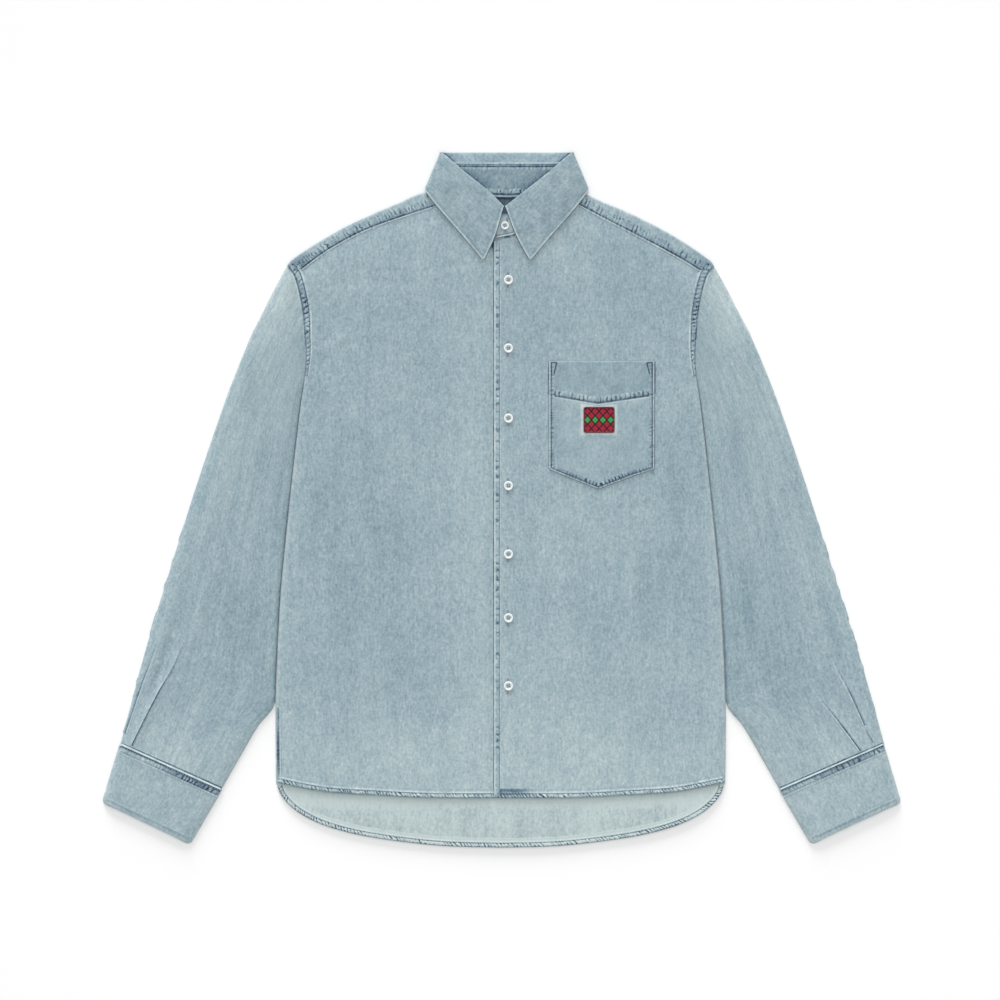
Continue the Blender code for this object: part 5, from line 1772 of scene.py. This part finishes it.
class SHIRT_OT_seams(Operator):
    """Add the gathered strips and the stitching of every seam and hem"""

    bl_idname = "shirt.seams"
    bl_label = "Seams and stitching"

    def execute(self, context):
        body, sleeves, chest = Stitching(1), Stitching(2), Stitching(3)

        def sew(name, band, grain_seed, threads=body, rows=(), margin=1.0,
                cloth="denim_washed", slot="denim", dye_and_shading=0.3):
            """Add a band, and its rows of stitches at their distances aside of the seam."""
            settle(band.strip(name, denim(cloth), grain_seed), slot)
            for aside in rows:
                threads.row(band.place, margin, band.run - margin, aside, dye_and_shading)

        for word, side in (("right", -1), ("left", 1)):
            sew(f"seam_armhole_{word}", armhole_band(side), 1, body, (1.6, 6.4))
            sew(f"seam_shoulder_{word}", shoulder_band(side), 4, body, (1.7, -2.6))
            sew(f"seam_shoulder_end_{word}", shoulder_end_band(side), 4)
            sew(f"seam_hem_{word}", front_hem_band(side), 1, body, (5.4,))
            sew(f"seam_cuff_{word}", cuff_seam_band(side), 7, sleeves, (1.5, 8.3), 2.0)
            sew(f"seam_cuff_end_{word}", cuff_edge_band(side), 7, sleeves, (6.3,))
        sew("seam_tail", tail_band(), 3, body, (5.4,), cloth="denim_inside")
        sew("seam_lap", lap_band(), 1, body, (6.2,))
        sew("seam_side", side_seam_band(), 2, body, (4.4,))
        of_pocket = {"cloth": "denim_of_pocket", "slot": "denim_pocket", "dye_and_shading": 0.9}
        sew("seam_pocket_edge", pocket_edge_band(), 12, chest, (2.4,), **of_pocket)
        sew("seam_pocket_band", pocket_band_band(), 12, chest, (0.0,), 0.5, **of_pocket)
        for line in ("seam", "neck"):
            sew(f"{line}_of_collar", collar_inside(line), 10, cloth="denim_of_collar",
                slot="denim_collar")
        for number, (side, name, *places) in enumerate(PLEATS):
            word = "left" if side > 0 else "right"
            sew(f"pleat_{name}_{word}", pleat_band(side, *places, 210 + number), 5)
        body.finish("stitching_body", "denim")
        sleeves.finish("stitching_sleeves", "denim")
        chest.finish("stitching_pocket", "denim_pocket")
        return {"FINISHED"}


# --- buttons, tacks and patch ---
def pearl_material():
    """White pearly plastic, faintly clouded, with painted shade in each button's sunken middle."""
    trim = settings()[2]
    made, tree = blank_material("button_pearl")
    shimmer = plain_noise(tree, 260.0, on_object(tree), Distortion=1.2)
    level = sum_up(tree, (shimmer, 0.4), (attribute(tree, "dye_and_shading"), 0.7))
    middle = between(trim.shell, trim.well_shade, 0.3)
    base = tone_ramp(tree, level, ((0.12, trim.shell), (0.28, middle), (0.9, trim.well_shade)))
    finish_material(tree, base, 0.3, **{"Coat Weight": 0.3, "Coat Roughness": 0.2})
    return made


def button_quarter(well):
    """A quarter of a button's plate: its hole and its outer bound, point by point."""
    spread = HOLE_SPREAD
    corners = (math.atan2(-spread, well - spread), math.atan2(well - spread, -spread), -0.75 * math.pi)
    angles = np.sort([*np.linspace(-math.pi, math.pi, 12, endpoint=False), *corners])
    way = grid(np.cos(angles), np.sin(angles))
    inward = np.minimum(way, -1e-9)
    to_sides = (spread / -inward).min(axis=1)
    along = spread * way.sum(axis=1)
    to_arc = -along + np.sqrt(along ** 2 + well ** 2 - 2 * spread ** 2)
    middle = np.array([spread, spread])
    bound = middle + way * np.minimum(to_sides, to_arc)[:, None]
    return middle + way * HOLE_RADIUS, bound, bound[to_arc <= to_sides + 1e-6]


def button(name, place, radius, turn, material):
    """A turned button with a raised rim and four holes right through it."""
    well = BUTTON_WELL * radius
    hole, bound, arc = button_quarter(well)
    verts, faces = [], []

    def loft(rings):
        """Join closed rings of points, each with as many points as the next."""
        start, count = len(verts), len(rings[0])
        for ring in rings:
            verts.extend(ring.tolist())
        index = start + np.arange(len(rings) * count).reshape(len(rings), count)
        faces.extend(quads(index, True))

    def level(ring, height):
        return join(ring, np.full((len(ring), 1), height), axis=1)

    plate = BUTTON_PROFILE[0][1] * BUTTON_THICKNESS
    angles = []
    for flip in ((1, 1), (-1, 1), (-1, -1), (1, -1)):
        loft([level(bound * flip, plate), level(hole * flip, plate), level(hole * flip, 0.0),
              level(bound * flip, 0.0)])
        angles += np.arctan2(arc[:, 1] * flip[1], arc[:, 0] * flip[0]).tolist()
    angles = np.unique(np.round(np.mod(angles, 2 * math.pi), 6))
    angles = angles[angles < 2 * math.pi - 1e-4]
    loft([level(mix(well, radius, out) * grid(np.cos(angles), np.sin(angles)),
                height * BUTTON_THICKNESS) for out, height in BUTTON_PROFILE])
    verts = np.array(verts)
    # painted shade: darker towards the sunken middle
    shade = 1 - ease((np.hypot(verts[:, 0], verts[:, 1]) / well - 0.75) / 0.5)
    x, y = rotated(verts[:, 0], verts[:, 1], turn)
    verts = grid(x, y, verts[:, 2]) + place
    return solid(name, verts, faces, {"dye_and_shading": shade}, material, weld=True)


def on_surface(surface):
    """Places on a surface from x and y, for rows and tacks of stitches."""
    def place(x, y, lift=0.0):
        x, y, lift = np.broadcast_arrays(x, y, lift)
        return grid(x, y, surface(x, y) + lift)

    return place


def sew_button(threads, place, turn):
    """Crossed strands of thread through the four holes."""
    t = np.linspace(-1, 1, threads.SECTIONS)
    reach = HOLE_SPREAD * math.sqrt(2) * t
    top = place[2] + BUTTON_PROFILE[0][1] * BUTTON_THICKNESS
    for angle in (turn + math.pi / 4, turn - math.pi / 4):
        for shift in (-0.26, 0.0, 0.26):
            strand = grid(place[0] + reach * math.cos(angle) - shift * math.sin(angle),
                          place[1] + reach * math.sin(angle) + shift * math.cos(angle),
                          top + 0.35 - 1.05 * np.abs(t) ** 3)
            threads.add(strand[None], 0.46, 0.45)


def buttonhole(threads, place, one, other):
    """Two rows of satin stitches beside a slit, with a bar tack at each end."""
    reach, width = math.dist(one, other), BUTTONHOLE[1]
    ux, uy = (other[0] - one[0]) / reach, (other[1] - one[1]) / reach
    for aside in (-0.3 * width, 0.3 * width):
        threads.satin(place, (one[0] - uy * aside, one[1] + ux * aside),
                      (other[0] - uy * aside, other[1] + ux * aside), 0.4 * width, dye_and_shading=0.25)
    # a dark strand along the slit: painted shade in the cut
    t = np.linspace(0, 1, threads.SECTIONS)
    slit = place(mix(one[0], other[0], t), mix(one[1], other[1], t), 0.05)
    threads.add(slit[None], 0.7, 0.9)
    for x, y in (one, other):
        threads.satin(place, (x - ux * 0.7, y - uy * 0.7), (x + ux * 0.7, y + uy * 0.7), width,
                      pitch=0.45)


def stand_face(x, y):
    """The upper face of the stand's lapping end at the front."""
    foot, top = COLLAR[0][4], COLLAR[0][3]
    return mix(foot[2], top[2], (y - foot[1]) / (top[1] - foot[1])) + COLLAR_CLOTH / 2 + 0 * x


class SHIRT_OT_buttons(Operator):
    """Add the buttons with their thread, and the buttonholes that they are through"""

    bl_idname = "shirt.buttons"
    bl_label = "Buttons and buttonholes"

    def execute(self, context):
        pearl = pearl_material()
        threads, holes, collar_thread = Stitching(4), Stitching(5), Stitching(6)

        def sew_on(name, x, y, height, radius, turn):
            place = (x, y, float(height) + SEAM_GAP)
            settle(button(f"shirt_{name}", place, radius, turn, pearl), "button_plastic", name)
            sew_button(threads, place, turn)

        face = front_face(1)
        for number, y in enumerate(BUTTON_HEIGHTS, 1):
            turn = 0.5 * float(noise(number * 1.7, 0.5, 81))
            sew_on(f"button_{number}", BUTTON_X, y, face(BUTTON_X, y), BUTTON_RADIUS, turn)
            x, half = BUTTON_X - 0.8, BUTTONHOLE[0] / 2
            buttonhole(holes, on_surface(face), (x, y - half), (x, y + half))
        x, y = COLLAR_BUTTON
        height = stand_face(x, y + 0.7 * COLLAR_BUTTON_RADIUS)
        sew_on("button_collar", x, y, height, COLLAR_BUTTON_RADIUS, 0.3)
        buttonhole(collar_thread, on_surface(stand_face), *COLLAR_BUTTONHOLE)
        threads.finish("button_thread", "button_plastic", settings()[2].button_thread)
        holes.finish("buttonholes", "denim")
        collar_thread.finish("buttonhole_collar", "denim_collar")
        return {"FINISHED"}


def patch_face(x, y):
    """The upper face of the patch, which lies on the pocket."""
    return pocket_face(x, y) + SEAM_GAP + PATCH_CLOTH


def patch_material():
    """Ribbed weave: a black lattice on red, with green lozenges across the middle."""
    trim = settings()[2]
    made, tree = blank_material("patch_weave")
    place = attribute(tree, "grain", "Vector")
    parts = add_node(tree, "ShaderNodeSeparateXYZ", {0: place})
    across, up = parts.outputs["X"], parts.outputs["Y"]

    def worked(operation, *inputs):
        return math_node(tree, operation, *inputs)

    lines = [worked("SINE", sum_up(tree, (across, math.pi / PATCH_LOZENGE[0]),
                                   (up, sign * math.pi / PATCH_LOZENGE[1]))) for sign in (1, -1)]
    closest = worked("MINIMUM", *(worked("ABSOLUTE", line) for line in lines))
    lattice = worked("LESS_THAN", closest, 0.33)
    cell = worked("GREATER_THAN", worked("MULTIPLY", *lines), 0.0)
    middle = worked("LESS_THAN", worked("ABSOLUTE", up), PATCH_LOZENGE[1] / 2)
    lozenge = worked("MULTIPLY", worked("MULTIPLY", cell, middle), 0.5)
    motif = worked("MAXIMUM", lozenge, lattice)
    base = tone_ramp(tree, motif, ((0.0, trim.ground), (0.2, trim.ground), (0.3, trim.motif),
                                   (0.7, trim.motif), (0.8, trim.outline), (1.0, trim.outline)))
    yarn = plain_noise(tree, 1.1, place)
    rib = worked("SINE", sum_up(tree, (up, 2 * math.pi / PATCH_RIB)))
    value = worked("ADD", sum_up(tree, (yarn, 0.9), (rib, 0.16)), 0.5)
    toned = add_node(tree, "ShaderNodeHueSaturation", {"Value": value, "Color": base})
    relief = sum_up(tree, (rib, 0.5), (yarn, 0.6))
    finish_material(tree, toned.outputs[0], 0.8, 0.1, (relief, 0.0003, 0.6),
                    **{"Specular IOR Level": 0.3})
    return made


def patch():
    width, height = PATCH_SIZE
    across, up = np.meshgrid(np.linspace(-1, 1, 49), np.linspace(-1, 1, 41))
    y = up * height / 2
    corner = np.maximum(np.abs(y) - (height / 2 - PATCH_CORNER), 0.0)
    x = across * (width / 2 - PATCH_CORNER + np.sqrt(PATCH_CORNER ** 2 - corner ** 2))
    grain = grain_field(x, y, 13)
    x, y = x + PATCH_CENTRE[0], y + PATCH_CENTRE[1]
    z = patch_face(x, y) - PATCH_CLOTH / 2
    return cloth_object("shirt_patch", grid(x, y, z), {"grain": grain}, PATCH_CLOTH / 2, patch_material())


def patch_line():
    """The patch's outline with its round corners, all round from the middle of its foot."""
    x, y = PATCH_CENTRE
    width, height = PATCH_SIZE[0] / 2 - PATCH_CORNER, PATCH_SIZE[1] / 2 - PATCH_CORNER
    corners = []
    for (sx, sy), start in zip(((1, -1), (1, 1), (-1, 1), (-1, -1)), (-90, 0, 90, 180)):
        for angle in np.radians(np.linspace(start, start + 90, 6)):
            corners.append((x + sx * width + PATCH_CORNER * math.cos(angle),
                            y + sy * height + PATCH_CORNER * math.sin(angle)))
    foot = (x, y - PATCH_SIZE[1] / 2)
    return rounded_line([foot, *corners, foot], step=0.5, soften=0)


class SHIRT_OT_patch(Operator):
    """Add the woven patch with its overcast edge, and the tacks at the pocket's corners"""

    bl_idname = "shirt.patch"
    bl_label = "Patch and tacks"

    def execute(self, context):
        settle(patch(), "woven_patch", "patch")
        edge, tacks = Stitching(7), Stitching(8)
        ground, run = path_ground(patch_line(), patch_face)

        def place(at, aside, lift=0.0):
            points = ground(at, aside)
            points[..., 2] += lift
            return points

        edge.satin(place, (0.0, 0.65), (run, 0.65), 1.3, pitch=0.5, dye_and_shading=0.3)
        trim = settings()[2]
        edge.finish("patch_edge", "woven_patch", between(trim.ground, trim.outline, 0.45))
        on_pocket = on_surface(pocket_face)
        for corner, inward in ((POCKET_LEFT, 1), (POCKET_RIGHT, -1)):
            for line in POCKET_TACK:
                one, other = ((corner + inward * x, POCKET_TOP + y) for x, y in line)
                tacks.satin(on_pocket, one, other, 1.5)
        cloth = settings()[0]
        tacks.finish("pocket_tacks", "denim_pocket", between(cloth.warp, cloth.indigo, 0.6))
        return {"FINISHED"}


class SHIRT_OT_cuts(Operator):
    """An empty step: it states no cut of the cloth"""

    bl_idname = "shirt.cuts"
    bl_label = "Cut of the cloth"

    def execute(self, context):
        return {"FINISHED"}


# --- stage ---
def plain_floor(name, tone):
    made, tree = blank_material(name)
    paler = [min(c * 1.01, 1.0) for c in tone]
    base = tone_ramp(tree, plain_noise(tree, 40.0), ((0.0, tone), (1.0, paler)))
    finish_material(tree, base, 0.9, **{"Specular IOR Level": 0.0})
    return made


def soft_light(name, kind, place, **values):
    """A light that points at the middle of the shirt."""
    light = bpy.data.lights.new(name, kind)
    for key, value in values.items():
        setattr(light, key, value)
    made = placed(name, light)
    made.location = place
    made.rotation_euler = (-Vector(place)).to_track_quat("-Z", "Y").to_euler()
    return made


class SHIRT_OT_stage(Operator):
    """Add the plain pale floor, the soft lights and the camera straight above"""

    bl_idname = "shirt.stage"
    bl_label = "Stage"

    def execute(self, context):
        stage = settings()[3]
        scene = context.scene
        scene.view_settings.view_transform = "Standard"
        work = bmesh.new()
        bmesh.ops.create_grid(work, x_segments=2, y_segments=2, size=30.0)
        mesh = bpy.data.meshes.new("floor")
        work.to_mesh(mesh)
        work.free()
        mesh.materials.append(plain_floor("plain_floor", stage.floor))
        floor = placed("floor", mesh)
        floor.location.z = FLOOR_Z
        world = bpy.data.worlds.new("studio")
        world.use_nodes = True
        sky = world.node_tree.nodes["Background"]
        sky.inputs["Color"].default_value = (1.0, 1.0, 1.0, 1.0)
        sky.inputs["Strength"].default_value = stage.sky
        scene.world = world
        soft_light("key_light", "SUN", (-0.5, 2.9, 0.72), energy=stage.key_strength,
                   angle=math.radians(26.0))
        soft_light("fill_light", "AREA", (0.0, 0.0, 4.2), energy=stage.fill_power, size=3.0)
        camera = bpy.data.cameras.new("camera")
        camera.sensor_width = 36.0
        camera.lens = camera.sensor_width * stage.camera_height / stage.frame_width
        camera.clip_end = 100.0
        scene.camera = placed("camera", camera)
        scene.camera.location = (stage.camera_x, 0.0, stage.camera_height)
        return {"FINISHED"}


class SHIRT_PT_shirt(Panel):
    """Every piece of the shirt, its sizes and its colours"""

    bl_idname = "SHIRT_PT_shirt"
    bl_label = "Denim shirt"
    bl_space_type = "VIEW_3D"
    bl_region_type = "UI"
    bl_category = "Shirt"

    def draw(self, context):
        column = self.layout.column()
        for operator in OPERATORS:
            column.operator(operator.bl_idname)
        for group in settings():
            box = column.box()
            for name in group.__annotations__:
                box.prop(group, name)


GROUPS = (ShirtCloth, ShirtSeams, ShirtTrim, ShirtStage)
GROUP_NAMES = ("shirt_cloth", "shirt_seams", "shirt_trim", "shirt_stage")
OPERATORS = (SHIRT_OT_back, SHIRT_OT_fronts, SHIRT_OT_sleeves, SHIRT_OT_collar, SHIRT_OT_pocket,
             SHIRT_OT_seams, SHIRT_OT_buttons, SHIRT_OT_patch, SHIRT_OT_cuts, SHIRT_OT_stage)
CLASSES = (*GROUPS, *OPERATORS, SHIRT_PT_shirt)


def register():
    for one in CLASSES:
        bpy.utils.register_class(one)
    for name, group in zip(GROUP_NAMES, GROUPS):
        setattr(bpy.types.Scene, name, bpy.props.PointerProperty(type=group))


def unregister():
    for name in GROUP_NAMES:
        delattr(bpy.types.Scene, name)
    for one in reversed(CLASSES):
        bpy.utils.unregister_class(one)


def main():
    register()
    for operator in OPERATORS:
        group, name = operator.bl_idname.split(".")
        getattr(getattr(bpy.ops, group), name)()


if __name__ == "__main__":
    main()
